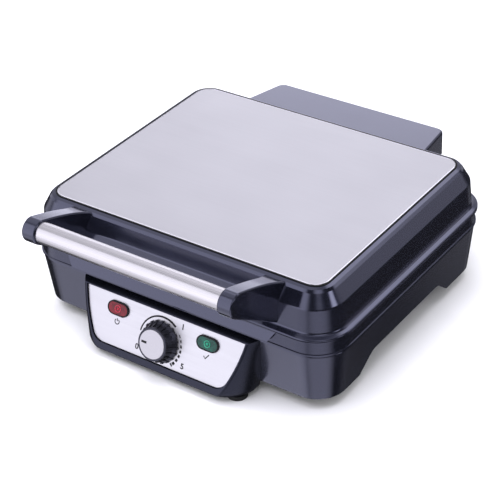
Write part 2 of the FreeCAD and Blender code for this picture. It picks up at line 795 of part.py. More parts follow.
def make_knob():
    body = new_body("dial_knob")
    section = knob_profile(body, "0", "0", "knob_gap", "knob_height - knob_rim / 2")
    turn(body, "Revolution", section, "skirt")
    seam = knob_profile(body, "knob_neck_radius / 2", "rib_height", "knob_gap", "knob_height - knob_rim / 2")
    rib = pad(body, seam, "rib_width", "rib", middle=True)
    ribs = body.newObject("PartDesign::PolarPattern", "Ribs")
    ribs.Originals = [rib]
    ribs.Axis = (section, ["V_Axis"])
    ribs.Angle = 360
    ribs.setExpression("Occurrences", cells("knob_ribs"))
    body.Tip = ribs
    finish(ribs, "ribs")
    rim = panel_sketch(body, "knob_height - knob_rim")
    circle(rim, "0", "-knob_drop", "knob_rim_radius")
    collar = pad(body, rim, "knob_rim", "rim")
    edge = edges_of(collar, lambda e: plane_gap(e, "knob_height") < 1e-3)
    blend(body, collar, edge, "knob_rim / 4", "front edge", kind="Chamfer")
    recess = panel_sketch(body, "knob_height")
    circle(recess, "0", "-knob_drop", "cap_radius + pin_fit")
    pocket(body, recess, "cap_thick", "cap recess")
    bore = panel_sketch(body)
    circle(bore, "0", "-knob_drop", "shaft_radius + pin_fit")
    pocket(body, bore, "knob_height - cap_thick - 1.8", "shaft bore", back=True)

    cap = new_body("knob_cap")
    disc = panel_sketch(cap, "knob_height - cap_thick")
    circle(disc, "0", "-knob_drop", "cap_radius")
    plate = pad(cap, disc, "cap_thick + 0.4", "disc")
    rim = edges_of(plate, lambda edge: plane_gap(edge, "knob_height + 0.4") < 1e-3)
    blend(cap, plate, rim, "edge_round / 4", "edge", kind="Chamfer")


# ---------------------------------------------------------------------------
# Waffle plates, elements and reflectors: the lower set, and its mirror in the lid
# ---------------------------------------------------------------------------


def make_cooking_set(name, face, up):
    """face is the height of the plate's parting face; up is 1 for the lid's set and -1 for the base's."""
    away = f"{up} *"
    block_w = "(cell_width * 2 + cell_gap * 3)"
    block_d = "(cell_depth * 2 + cell_gap * 3)"
    plate = new_body(f"{name}_waffle_plate")
    pad(plate, ring(plate, "band_offset - wall - 1 - clearance", face), "flange_thick", "flange", back=up < 0)
    block = sketch_on(plate, PLAN, face)
    rounded_rectangle(block, block_w, block_d, "cell_corner + cell_gap")
    pad(plate, block, "cavity_depth + cavity_floor", "block", back=up < 0)
    pitch_x = "(cell_width + cell_gap)"
    pitch_y = "(cell_depth + cell_gap)"
    for side in (-1, 1):
        for end in (-1, 1):
            cell = sketch_on(plate, PLAN, face)
            centred_cell(cell, f"{side} * {pitch_x} / 2", f"{end} * {pitch_y} / 2")
            pocket(plate, cell, "cavity_depth", "cell", back=up > 0, draft="-cavity_draft")
    for side in (-1, 1):
        for end in (-1, 1):
            grid(plate, face, up, f"{side} * {pitch_x} / 2", f"{end} * {pitch_y} / 2")

    under = f"({face} + {away} (cavity_depth + cavity_floor))"
    element = new_body(f"{name}_heating_element")
    path = sketch_on(element, PLAN, f"{under} + {away} (element_radius + clearance / 3)")
    hairpin(path)
    profile = sketch_on(element, SIDE, "-element_gap / 2")
    circle(profile, "element_depth / 2", f"{under} + {away} (element_radius + clearance / 3)", "element_radius")
    pipe = element.newObject("PartDesign::AdditivePipe", "Pipe")
    pipe.Profile = profile
    pipe.Spine = path
    finish(pipe, "rod")

    tray = new_body(f"{name}_reflector")
    start = f"{face} + {away} (flange_thick + clearance)"
    pad(tray, ring(tray, "-reflector_offset", start), "reflector_depth", "tray", back=up < 0)
    hollow = ring(tray, "-reflector_offset - reflector_sheet", start)
    pocket(tray, hollow, "reflector_depth - reflector_sheet", "hollow", back=up > 0)


def centred_cell(sketch, x, y):
    """A rectangle of one cell's size about x, y."""
    outline(
        sketch,
        [
            (f"{x} - cell_width / 2", f"{y} - cell_depth / 2"),
            (f"{x} + cell_width / 2", f"{y} - cell_depth / 2"),
            (f"{x} + cell_width / 2", f"{y} + cell_depth / 2"),
            (f"{x} - cell_width / 2", f"{y} + cell_depth / 2"),
        ],
    )


def grid(plate, face, up, x, y):
    """Rows and columns of tapered pegs that stand on a cell's floor."""
    step_x = "(cell_width / peg_columns)"
    step_y = "(cell_depth / peg_rows)"
    floor = f"{face} + {up} * cavity_depth"
    corner_x = f"{x} - cell_width / 2 + {step_x} / 2"
    corner_y = f"{y} - cell_depth / 2 + {step_y} / 2"
    seed = sketch_on(plate, PLAN, floor)
    outline(
        seed,
        [
            (f"{corner_x} - peg_size / 2", f"{corner_y} - peg_size / 2"),
            (f"{corner_x} + peg_size / 2", f"{corner_y} - peg_size / 2"),
            (f"{corner_x} + peg_size / 2", f"{corner_y} + peg_size / 2"),
            (f"{corner_x} - peg_size / 2", f"{corner_y} + peg_size / 2"),
        ],
    )
    peg = pad(plate, seed, "peg_height", "peg", back=up > 0, draft="-peg_draft")
    pattern = plate.newObject("PartDesign::LinearPattern", "Pegs")
    pattern.Originals = [peg]
    pattern.Direction = (seed, ["H_Axis"])
    pattern.setExpression("Length", cells(f"{step_x} * (peg_columns - 1)"))
    pattern.setExpression("Occurrences", cells("peg_columns"))
    pattern.Direction2 = (seed, ["V_Axis"])
    pattern.setExpression("Length2", cells(f"{step_y} * (peg_rows - 1)"))
    pattern.setExpression("Occurrences2", cells("peg_rows"))
    plate.Tip = pattern
    finish(pattern, "pegs")


def hairpin(sketch):
    """The heating rod's centre line: a loop with both terminals at the back."""
    w, d, r, g = (size(f) for f in ("element_width / 2", "element_depth / 2", "element_bend", "element_gap / 2"))
    ends = [(-g, d), (-w + r, d), (-w, d - r), (-w, -d + r), (-w + r, -d), (w - r, -d), (w, -d + r), (w, d - r), (w - r, d), (g, d)]
    for k in range(0, 10, 2):
        sketch.addGeometry(Part.LineSegment(VECTOR(*ends[k], 0), VECTOR(*ends[k + 1], 0)), False)
    for cx, cy, start in ((-w + r, d - r, 90), (-w + r, -d + r, 180), (w - r, -d + r, 270), (w - r, d - r, 0)):
        bend = Part.Circle(VECTOR(cx, cy, 0), VECTOR(0, 0, 1), r)
        sketch.addGeometry(Part.ArcOfCircle(bend, math.radians(start), math.radians(start + 90)), False)
    # lines: 0 back left, 1 left, 2 front, 3 right, 4 back right; arcs 5 to 8 join them in turn
    for line, line_end, arc, arc_end in (
        (0, 2, 5, 1), (1, 1, 5, 2), (1, 2, 6, 1), (2, 1, 6, 2), (2, 2, 7, 1), (3, 1, 7, 2), (3, 2, 8, 1), (4, 1, 8, 2),
    ):
        sketch.addConstraint(Sketcher.Constraint("Tangent", line, line_end, arc, arc_end))
    for line, kind in enumerate(("Horizontal", "Vertical", "Horizontal", "Vertical", "Horizontal")):
        sketch.addConstraint(Sketcher.Constraint(kind, line))
    for arc in (6, 7, 8):
        sketch.addConstraint(Sketcher.Constraint("Equal", 5, arc))
    drive(sketch, "Radius", (5,), "element_bend")
    place(sketch, 0, 1, "-element_gap / 2", "element_depth / 2")
    place(sketch, 4, 2, "element_gap / 2", "element_depth / 2")
    drive(sketch, "DistanceX", (1, 1), "-element_width / 2")
    drive(sketch, "DistanceX", (3, 1), "element_width / 2")
    drive(sketch, "DistanceY", (2, 1), "-element_depth / 2")


# ---------------------------------------------------------------------------
# Lid
# ---------------------------------------------------------------------------


def make_upper_housing():
    body = new_body("upper_housing")
    skin = ring_stack(
        body,
        "Additive",
        [
            ("lip_offset - 1.6", LID_LOW),
            ("lip_offset", f"{LID_LOW} + 0.8"),
            ("lip_offset", f"{LID_LOW} + lip_height / 2 - lip_groove / 2"),
            ("lip_offset - lip_groove", f"{LID_LOW} + lip_height / 2"),
            ("lip_offset", f"{LID_LOW} + lip_height / 2 + lip_groove / 2"),
            ("lip_offset", f"{LID_LOW} + lip_height"),
            ("lid_wall_offset", f"{LID_LOW} + lip_height + lip_flare"),
            ("crease_offset", f"{TOP} - crease_drop"),
            ("rim_offset", f"{TOP} - rim_drop"),
            (ARM_END, f"{TOP} - rim_step * 1.6"),
            ("plate_groove", f"{TOP} - rim_step * 0.6"),
        ],
        "skin",
    )
    step = blend(body, skin, edges_of(skin, level(f"{TOP} - crease_drop")), "crease_round", "crease round")
    step = blend(body, step, edges_of(step, level(f"{LID_LOW} + lip_height + lip_flare")), "edge_round * 2", "lip neck")
    blend(body, step, edges_of(step, level(f"{LID_LOW} + lip_height")), "edge_round", "lip round")
    seat = ring(body, "plate_groove", f"{TOP} - plate_thick")
    pocket(body, seat, "plate_thick * 2", "top plate seat", back=True)
    seat = ring(body, "band_offset - wall - 1", f"{LID_LOW} + parting_gap + flange_thick + clearance")
    pocket(body, seat, "flange_thick * 3", "waffle plate seat")
    ring_stack(
        body,
        "Subtractive",
        [
            ("lid_wall_offset - wall", f"{LID_LOW} + parting_gap + flange_thick"),
            ("crease_offset - wall", f"{TOP} - crease_drop - skin"),
            ("0", f"{TOP} - plate_thick - skin"),
        ],
        "chamber",
    )
    # Apron: the front lip carried down over the dip in the base.
    hang = sketch_on(body, FORWARD, "plate_depth / 2 + lip_offset - wall")
    apron_outline(hang, "0", f"{LID_LOW} + lip_height / 2", f"{PARTING} - apron_drop")
    apron = pad(body, hang, "wall + apron_lean", "apron")
    low = level(f"{PARTING} - apron_drop")
    blend(body, apron, edges_of(apron, lambda e: low(e) and e.BoundBox.XLength < 1e-3), "apron_round", "apron corners")
    lean = sketch_on(body, SIDE)
    front = "(-plate_depth / 2 - lip_offset)"
    outline(
        lean,
        [
            (f"{front} - apron_lean * 3", f"{PARTING} - apron_drop - 1"),
            (f"{front} - apron_lean", f"{PARTING} - apron_drop - 1"),
            (f"{front} - apron_lean", f"{PARTING} - apron_drop + 1"),
            (front, f"{LID_LOW} + 0.8"),
            (front, f"{LID_LOW} + lip_height + 1"),
            (f"{front} - apron_lean * 3", f"{LID_LOW} + lip_height + 1"),
        ],
    )
    pocket(body, lean, "apron_top_width * 1.2", "apron lean", middle=True)


def make_top_plate():
    body = new_body("top_plate")
    sheet_ring = ring(body, "0", f"{TOP} - plate_thick")
    plate = pad(body, sheet_ring, "plate_thick", "sheet")
    blend(body, plate, edges_of(plate, level(TOP)), "plate_thick / 4", "edge", kind="Chamfer")


def lid_face(sketch_front, gap):
    """Corners of the lid's outer side profile from the rim down to the lip, moved out by a gap."""
    sign = "-" if sketch_front else ""
    grow = lambda offset: f"{sign}(plate_depth / 2 + {offset} + ({gap}))"
    return [
        (grow("rim_offset"), f"{TOP} - rim_drop"),
        (grow("crease_offset"), f"{TOP} - crease_drop"),
        (grow("lid_wall_offset"), f"{LID_LOW} + lip_height + lip_flare"),
    ]


def make_handle_arm(name, side):
    """A D-shaped arm: arched top, round nose about the tube, straight underside back to the lid."""
    body = new_body(name)
    middle = f"{side} * (arm_spacing / 2 + arm_thick / 2)"
    profile = sketch_on(body, SIDE, f"{side} * (arm_spacing / 2 + arm_thick / 2)")
    rim, crease, foot = lid_face(True, "clearance / 3")
    root = (f"{rim[0]} + rim_shoulder", f"{TOP} - rim_step * 1.6 + clearance / 3")
    heel = (foot[0], f"{foot[1]} + arm_foot / 4")
    nose = VECTOR(size(TUBE_Y), size(TUBE_Z), 0)
    r = size("arm_nose")
    start = VECTOR(size(root[0]), size(root[1]), 0)
    arch = size("arm_arch")
    centre = meet(nose, arch - r, start, arch)
    touch = nose + (nose - centre).normalize() * r
    end = VECTOR(size(heel[0]), size(heel[1]), 0)
    under = tangent_point(nose, r, end)
    spots = [VECTOR(size(x), size(y), 0) for x, y in (heel, crease, rim, root)]
    for k in range(3):
        sketch_line(profile, spots[k], spots[k + 1])
    first = math.atan2(start.y - centre.y, start.x - centre.x)
    last = math.atan2(touch.y - centre.y, touch.x - centre.x)
    profile.addGeometry(Part.ArcOfCircle(Part.Circle(centre, VECTOR(0, 0, 1), arch), first, last), False)
    a = math.atan2(touch.y - nose.y, touch.x - nose.x)
    b = math.atan2(under.y - nose.y, under.x - nose.x) + 2 * math.pi
    profile.addGeometry(Part.ArcOfCircle(Part.Circle(nose, VECTOR(0, 0, 1), r), a, b), False)
    sketch_line(profile, under, end)
    for k, (x, y) in enumerate((heel, crease, rim)):
        place(profile, k, 1, x, y)
    for k in (1, 2):
        profile.addConstraint(Sketcher.Constraint("Coincident", k - 1, 2, k, 1))
    place(profile, 2, 2, *root)
    profile.addConstraint(Sketcher.Constraint("Coincident", 2, 2, 3, 1))
    profile.addConstraint(Sketcher.Constraint("Tangent", 3, 2, 4, 1))
    profile.addConstraint(Sketcher.Constraint("Tangent", 4, 2, 5, 1))
    profile.addConstraint(Sketcher.Constraint("Coincident", 5, 2, 0, 1))
    place(profile, 4, 3, TUBE_Y, TUBE_Z)
    drive(profile, "Radius", (4,), "arm_nose")
    drive(profile, "Radius", (3,), "arm_arch")
    blank = pad(body, profile, "arm_root_thick", "blank", middle=True)
    for face in (-1, 1):
        flare(body, f"{middle} + {face} * arm_thick / 2", face)
    trimmed = body.Tip
    outer = edges_of(trimmed, lambda e: rounded_edge(e, middle))
    blend(body, trimmed, outer, "arm_round", "soft edges")
    socket = sketch_on(body, SIDE, f"{side} * arm_spacing / 2")
    circle(socket, TUBE_Y, TUBE_Z, "tube_radius + clearance / 3")
    pocket(body, socket, "socket_depth", "tube socket", back=side > 0)
    return blank


def rounded_edge(edge, middle):
    """Edges that outline the arm's two cheeks, away from the lid."""
    box = edge.BoundBox
    cheek = abs(abs(edge.CenterOfMass.x - size(middle)) - size("arm_thick / 2")) < 0.2
    return cheek and box.XLength < 0.01 and box.YMax < size("-plate_depth / 2 - lid_wall_offset") - 8


def meet(a, ra, b, rb):
    """The lower of the two points at distance ra from a and rb from b."""
    gap = b - a
    d = gap.Length
    along_gap = (ra * ra - rb * rb + d * d) / (2 * d)
    off = math.sqrt(ra * ra - along_gap * along_gap)
    foot = a + gap * (along_gap / d)
    sides = [foot + VECTOR(-gap.y, gap.x, 0) * (k * off / d) for k in (-1, 1)]
    return min(sides, key=lambda p: p.y)


def tangent_point(centre, radius, outside):
    """Where the lower tangent from an outside point touches a circle."""
    gap = outside - centre
    angle = math.atan2(gap.y, gap.x)
    spread = math.acos(radius / gap.Length)
    return centre + VECTOR(math.cos(angle - spread), math.sin(angle - spread), 0) * radius


def flare(body, cheek, face):
    """Cut one cheek of the arm's blank back to its thickness, leaving a curved flare at the root."""
    sketch = sketch_on(body, PLAN, f"{TOP} + tube_rise + arm_nose * 2")
    x0 = size(cheek)
    spread = (size("arm_root_thick") - size("arm_thick")) / 2
    r = size("arm_flare_radius")
    y_root = size(f"-plate_depth / 2 - {ARM_END}")
    y_end = y_root - math.sqrt(r * r - (r - spread) ** 2)
    far = f"{cheek} + {face} * arm_root_thick"
    front = f"{TUBE_Y} - arm_nose * 2"
    centre = VECTOR(x0 + face * r, y_end, 0)
    angle = math.asin((y_root - y_end) / r)
    arc = Part.Circle(centre, VECTOR(0, 0, 1), r)
    if face > 0:
        bend = Part.ArcOfCircle(arc, math.pi - angle, math.pi)
    else:
        bend = Part.ArcOfCircle(arc, 0, angle)
    root = VECTOR(x0 + face * spread, y_root, 0)
    spots = [root, VECTOR(size(far), y_root, 0), VECTOR(size(far), size(front), 0), VECTOR(x0, size(front), 0), VECTOR(x0, y_end, 0)]
    for k in range(4):
        sketch_line(sketch, spots[k], spots[k + 1])
    sketch.addGeometry(bend, False)
    for k in range(3):
        sketch.addConstraint(Sketcher.Constraint("Coincident", k, 2, k + 1, 1))
    sketch.addConstraint(Sketcher.Constraint("Tangent", 3, 2, 4, 2 if face > 0 else 1))
    sketch.addConstraint(Sketcher.Constraint("Coincident", 4, 1 if face > 0 else 2, 0, 1))
    place(sketch, 0, 1, f"{cheek} + {face} * (arm_root_thick - arm_thick) / 2", f"-plate_depth / 2 - {ARM_END}")
    place(sketch, 0, 2, far, f"-plate_depth / 2 - {ARM_END}")
    place(sketch, 1, 2, far, front)
    place(sketch, 2, 2, cheek, front)
    sketch.addConstraint(Sketcher.Constraint("Vertical", 3))
    drive(sketch, "Radius", (4,), "arm_flare_radius")
    pocket(body, sketch, "arm_nose * 20", "cheek")


def make_handle_tube():
    body = new_body("handle_tube")
    section = sketch_on(body, SIDE)
    circle(section, TUBE_Y, TUBE_Z, "tube_radius")
    circle(section, TUBE_Y, TUBE_Z, "tube_radius - tube_wall")
    pad(body, section, "arm_spacing + 2 * (socket_depth - clearance / 3)", "tube", middle=True)


# ---------------------------------------------------------------------------
# Hinge
# ---------------------------------------------------------------------------


def knuckle(sketch, lower_start, upper_start):
    """A strap from two points on a housing to a round end about the hinge pin."""
    centre = VECTOR(size(HINGE_Y), size(HINGE_Z), 0)
    r = size("knuckle_radius")
    low = VECTOR(size(lower_start[0]), size(lower_start[1]), 0)
    high = VECTOR(size(upper_start[0]), size(upper_start[1]), 0)
    low_touch = tangent_point(centre, r, low) if low.x > centre.x else mirror_tangent(centre, r, low, False)
    high_touch = mirror_tangent(centre, r, high, True)
    sketch_line(sketch, high, low)
    sketch_line(sketch, low, low_touch)
    a = math.atan2(low_touch.y - centre.y, low_touch.x - centre.x)
    b = math.atan2(high_touch.y - centre.y, high_touch.x - centre.x)
    sketch.addGeometry(Part.ArcOfCircle(Part.Circle(centre, VECTOR(0, 0, 1), r), a, b), False)
    sketch_line(sketch, high_touch, high)
    sketch.addConstraint(Sketcher.Constraint("Coincident", 0, 2, 1, 1))
    sketch.addConstraint(Sketcher.Constraint("Tangent", 1, 2, 2, 1))
    sketch.addConstraint(Sketcher.Constraint("Tangent", 2, 2, 3, 1))
    sketch.addConstraint(Sketcher.Constraint("Coincident", 3, 2, 0, 1))
    place(sketch, 0, 1, *upper_start)
    place(sketch, 0, 2, *lower_start)
    place(sketch, 2, 3, HINGE_Y, HINGE_Z)
    drive(sketch, "Radius", (2,), "knuckle_radius")
    circle(sketch, HINGE_Y, HINGE_Z, "pin_radius + pin_fit")


def mirror_tangent(centre, radius, outside, upper):
    """Where the upper or lower tangent from a point in front of the pin touches the round end."""
    gap = outside - centre
    angle = math.atan2(gap.y, gap.x)
    spread = math.acos(radius / gap.Length)
    ends = [centre + VECTOR(math.cos(angle + k * spread), math.sin(angle + k * spread), 0) * radius for k in (-1, 1)]
    return max(ends, key=lambda p: p.y) if upper else min(ends, key=lambda p: p.y)


def make_hinge():
    # Ears stand on the back of the base, just under and behind its band.
    ears = new_body("lower_hinge_bracket")
    wall = "(plate_depth / 2 + bead_offset + clearance)"
    for side in (-1, 1):
        ear = sketch_on(ears, SIDE, f"{side} * ear_spacing / 2")
        knuckle(ear, (wall, f"{PARTING} - 20"), (wall, f"{PARTING} - 5"))
        pad(ears, ear, "ear_thick", "ear", middle=True)
    strap = sketch_on(ears, SIDE)
    outline(
        strap,
        [
            ("plate_depth / 2 + wall_offset", f"{PARTING} - 24"),
            (f"{wall} + lug_plate", f"{PARTING} - 24"),
            (f"{wall} + lug_plate", f"{GROOVE} - 1"),
            ("plate_depth / 2 + wall_offset", f"{GROOVE} - 1"),
        ],
    )
    pad(ears, strap, "ear_spacing + ear_thick * 3", "back strap", middle=True)

    # Lugs reach back from the lid's wall, just inside the ears.
    lugs = new_body("upper_hinge_bracket")
    lid_wall = f"({REAR_WALL} + clearance / 3)"
    lug_low = f"{LID_LOW} + lip_height + lip_flare + 1.4"
    for side in (-1, 1):
        lug = sketch_on(lugs, SIDE, f"{side} * (ear_spacing / 2 - ear_thick - knuckle_gap)")
        knuckle(lug, (lid_wall, lug_low), (lid_wall, f"{lug_low} + 17"))
        pad(lugs, lug, "ear_thick", "lug", middle=True)
    flat = sketch_on(lugs, SIDE)
    outline(
        flat,
        [
            (lid_wall, lug_low),
            (f"{lid_wall} + lug_plate", lug_low),
            (f"{lid_wall} + lug_plate", f"{lug_low} + 17"),
            (lid_wall, f"{lug_low} + 17"),
        ],
    )
    pad(lugs, flat, "ear_spacing", "back plate", middle=True)

    pins = []
    for side in (-1, 1):
        pin = doc.addObject("Part::Cylinder", "Pin")
        length = "(ear_thick * 2 + knuckle_gap + 2)"
        pin.Placement.Rotation = FreeCAD.Rotation(VECTOR(0, 1, 0), 90)
        pin.setExpression("Radius", cells("pin_radius"))
        pin.setExpression("Height", cells(length))
        middle = f"{side} * (ear_spacing / 2 - (ear_thick + knuckle_gap) / 2)"
        pin.setExpression("Placement.Base.x", cells(f"{middle} - {length} / 2"))
        pin.setExpression("Placement.Base.y", cells(HINGE_Y))
        pin.setExpression("Placement.Base.z", cells(HINGE_Z))
        pins.append(pin)
    group(pins, "hinge_pins")


def make_hinge_cover():
    """A tapered hood on the back of the lid that hides the hinge; open underneath and towards the lid."""
    body = new_body("hinge_cover")
    hood_plan = sketch_on(body, PLAN, f"{LID_LOW} + lip_height + lip_flare + edge_round * 2.5")
    inner_y = "(plate_depth / 2 + rim_offset - 4)"
    outline(hood_plan, plan_corners("0", inner_y))
    hood = pad(body, hood_plan, f"{TOP} - {LID_LOW}", "blank")
    rear = edges_of(hood, lambda e: along("z")(e) and e.CenterOfMass.y > size(COVER_REAR) - 1)
    hood = blend(body, hood, rear, "cover_corner", "rear corners")
    rim, crease, foot = lid_face(False, "clearance / 3")
    top_front = f"{TOP} - cover_drop"
    slice_y = f"{rim[0]} + ({crease[0]} - {rim[0]}) * (cover_drop - rim_drop) / (crease_drop - rim_drop)"
    big = "plate_depth"
    cutter = sketch_on(body, SIDE)
    outline(
        cutter,
        [
            (f"{COVER_REAR} + 10", f"{top_front} - cover_slope * 1.25"),
            (f"{COVER_REAR} + 10", f"{TOP} + 20"),
            (f"{inner_y} - 10", f"{TOP} + 20"),
            (f"{inner_y} - 10", f"{LID_LOW} - 5"),
            (foot[0], f"{LID_LOW} - 5"),
            foot,
            crease,
            (slice_y, top_front),
        ],
    )
    shaped = pocket(body, cutter, big + " * 2", "top and front", middle=True)
    upper = edges_of(shaped, lambda e: hood_edge(e))
    shaped = blend(body, shaped, upper, "cover_corner / 4", "top edges")
    skirt = sketch_on(body, SIDE)
    outline(
        skirt,
        [
            (f"{HINGE_Y} - 4", f"{LID_LOW} - 5"),
            (f"{COVER_REAR} + 10", f"{LID_LOW} - 5"),
            (f"{COVER_REAR} + 10", f"{TOP} - cover_drop - cover_slope - cover_skirt"),
            (f"{HINGE_Y} + 6", f"{TOP} - cover_drop - cover_slope - cover_skirt"),
        ],
    )
    pocket(body, skirt, big + " * 2", "skirt", middle=True)
    inside = sketch_on(body, PLAN, f"{TOP} - cover_drop - cover_slope * 1.2 - cover_wall")
    outline(inside, plan_corners("cover_wall", inner_y))
    pocket(body, inside, f"{TOP} - {LID_LOW}", "inside")


def plan_corners(inset, inner_y):
    half_front = f"(cover_front_width / 2 - ({inset}))"
    half_rear = f"(cover_rear_width / 2 - ({inset}))"
    rear = f"{COVER_REAR} - ({inset})"
    return [(f"-{half_front}", inner_y), (half_front, inner_y), (half_rear, rear), (f"-{half_rear}", rear)]


def hood_edge(edge):
    """The hood's outer top edges: sides, back and the two corners between."""
    box = edge.BoundBox
    height = size(f"{TOP} - cover_drop - cover_slope * 1.5")
    return box.ZMin > height and box.YMax > size(REAR_WALL) and not (box.XLength > 1 and box.YMax < size(HINGE_Y))


# ---------------------------------------------------------------------------
# Inlet, screws
# ---------------------------------------------------------------------------


def make_cord_bush():
    body = new_body("cord_bush")
    section = sketch_on(body, FORWARD, "-plate_depth / 2 - leg_offset + wall + 2")
    circle(section, "inlet_x", "inlet_height", "inlet_radius - clearance / 3")
    circle(section, "inlet_x", "inlet_height", "inlet_bore")
    pad(body, section, "wall * 2 + 5", "sleeve", back=True)
    flange = sketch_on(body, FORWARD, "-plate_depth / 2 - wall_offset - clearance")
    circle(flange, "inlet_x", "inlet_height", "inlet_radius + 2")
    circle(flange, "inlet_x", "inlet_height", "inlet_bore")
    pad(body, flange, "2.5", "flange", back=True)


def make_screws():
    heads = []
    for side in (-1, 1):
        for end in (-1, 1):
            shank = doc.addObject("Part::Cylinder", "Shank")
            shank.setExpression("Radius", cells("screw_radius"))
            shank.setExpression("Height", cells("screw_length + ledge"))
            head = doc.addObject("Part::Cylinder", "Head")
            head.setExpression("Radius", cells("screw_head"))
            head.setExpression("Height", cells("screw_radius"))
            screw = doc.addObject("Part::Fuse", "Screw")
            screw.Base = shank
            screw.Tool = head
            shank.setExpression("Placement.Base.z", cells(f"{COVER_TOP} - ledge"))
            head.setExpression("Placement.Base.z", cells(f"{COVER_TOP} - ledge - screw_radius - clearance / 3"))
            shank.setExpression("Placement.Base.z", cells(f"{COVER_TOP} - ledge - screw_radius / 2"))
            for piece in (shank, head):
                piece.setExpression("Placement.Base.x", cells(f"{side} * screw_x"))
                piece.setExpression("Placement.Base.y", cells(f"{end} * screw_y"))
            heads.append(screw)
    group(heads, "cover_screws")


make_lower_housing()
make_bottom_cover()
make_rubber_feet()
make_control_housing()
make_control_panel()
make_lamp("power", -1)
make_lamp("ready", 1)
make_thermostat()
make_knob()
make_cooking_set("lower", f"({PARTING} - clearance)", -1)
make_cooking_set("upper", f"({LID_LOW} + parting_gap)", 1)
make_upper_housing()
make_top_plate()
make_handle_arm("left_handle_arm", -1)
make_handle_arm("right_handle_arm", 1)
make_handle_tube()
make_hinge()
make_hinge_cover()
make_cord_bush()
make_screws()
doc.recompute()

# ---------------------------------------------------------------------------
# Check every object, then write one STEP file for each piece
# ---------------------------------------------------------------------------

failed = [o.Label for o in doc.Objects if {"Invalid", "Error"} & set(o.State)]
if failed:
    raise RuntimeError(f"failed objects: {failed}")
nodes = [o for o in doc.Objects if o.TypeId in ("PartDesign::Body", "Part::Compound")]
for node in nodes:
    if node.Shape.isNull() or not node.Shape.isValid():
        raise RuntimeError(f"{node.Label} has no valid shape")
os.makedirs("parts", exist_ok=True)
for node in nodes:
    node.Shape.exportStep(f"parts/{node.Label}.step")
    box = node.Shape.BoundBox
    print(f"{node.Label}: {len(node.Shape.Solids)} solids, {node.Shape.Volume / 1000:.1f} cm3, z {box.ZMin:.1f} to {box.ZMax:.1f}")
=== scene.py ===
"""Waffle maker: the finishes, printed marks and lamp details that go round the CAD frame."""

import json
import math

import bmesh
import bpy
from mathutils import Matrix, Vector


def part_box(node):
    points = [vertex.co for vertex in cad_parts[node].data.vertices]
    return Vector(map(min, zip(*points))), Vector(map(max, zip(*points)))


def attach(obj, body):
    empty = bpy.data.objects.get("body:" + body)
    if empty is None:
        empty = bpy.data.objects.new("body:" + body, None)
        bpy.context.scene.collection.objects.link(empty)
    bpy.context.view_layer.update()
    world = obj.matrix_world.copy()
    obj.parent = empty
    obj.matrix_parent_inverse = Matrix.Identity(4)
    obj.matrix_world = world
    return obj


MM = 0.001  # metres

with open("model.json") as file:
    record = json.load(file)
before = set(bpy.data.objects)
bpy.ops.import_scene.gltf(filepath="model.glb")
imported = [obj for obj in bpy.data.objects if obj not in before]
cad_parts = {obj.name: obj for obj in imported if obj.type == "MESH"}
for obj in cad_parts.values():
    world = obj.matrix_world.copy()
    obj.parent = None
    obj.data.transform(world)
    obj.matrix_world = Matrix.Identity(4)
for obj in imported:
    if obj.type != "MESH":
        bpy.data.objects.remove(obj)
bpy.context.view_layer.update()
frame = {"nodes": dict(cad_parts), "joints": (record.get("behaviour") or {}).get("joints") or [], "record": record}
dial = next(joint for joint in frame["joints"] if joint["name"] == "dial_turn")


# ---------------------------------------------------------------------------
# Materials
# ---------------------------------------------------------------------------


def srgb(code):
    """A linear colour from an sRGB hex code."""
    parts = [int(code[i : i + 2], 16) / 255 for i in (1, 3, 5)]
    return [p / 12.92 if p <= 0.04045 else ((p + 0.055) / 1.055) ** 2.4 for p in parts] + [1.0]


def emptied(owner):
    """A new material, or the world, with its nodes on and cleared away."""
    owner.use_nodes = True
    owner.node_tree.nodes.clear()
    return owner


def add(owner, kind, inputs=None, **settings):
    """Adds a node with its settings. An input is a value, or the socket that it is linked from."""
    made = owner.node_tree.nodes.new(kind)
    for name, value in settings.items():
        setattr(made, name, value)
    for name, value in (inputs or {}).items():
        if isinstance(value, bpy.types.NodeSocket):
            owner.node_tree.links.new(value, made.inputs[name])
        else:
            made.inputs[name].default_value = value
    return made


def pattern(owner, size, detail=3.0):
    """Noise whose blotches or streaks have these sizes in millimetres along X, Y and Z."""
    place = add(owner, "ShaderNodeTexCoord")
    stretch = [1 / (s * MM) for s in size]
    grid = add(owner, "ShaderNodeMapping", {"Vector": place.outputs["Object"], "Scale": stretch})
    noise = add(owner, "ShaderNodeTexNoise", {"Vector": grid.outputs["Vector"], "Scale": 1.0, "Detail": detail})
    return noise.outputs["Fac"]


# Noise stays near its middle: nearly all of it lies between these, so they are where a range begins and ends.
NOISE_LOW, NOISE_HIGH = 0.3, 0.7


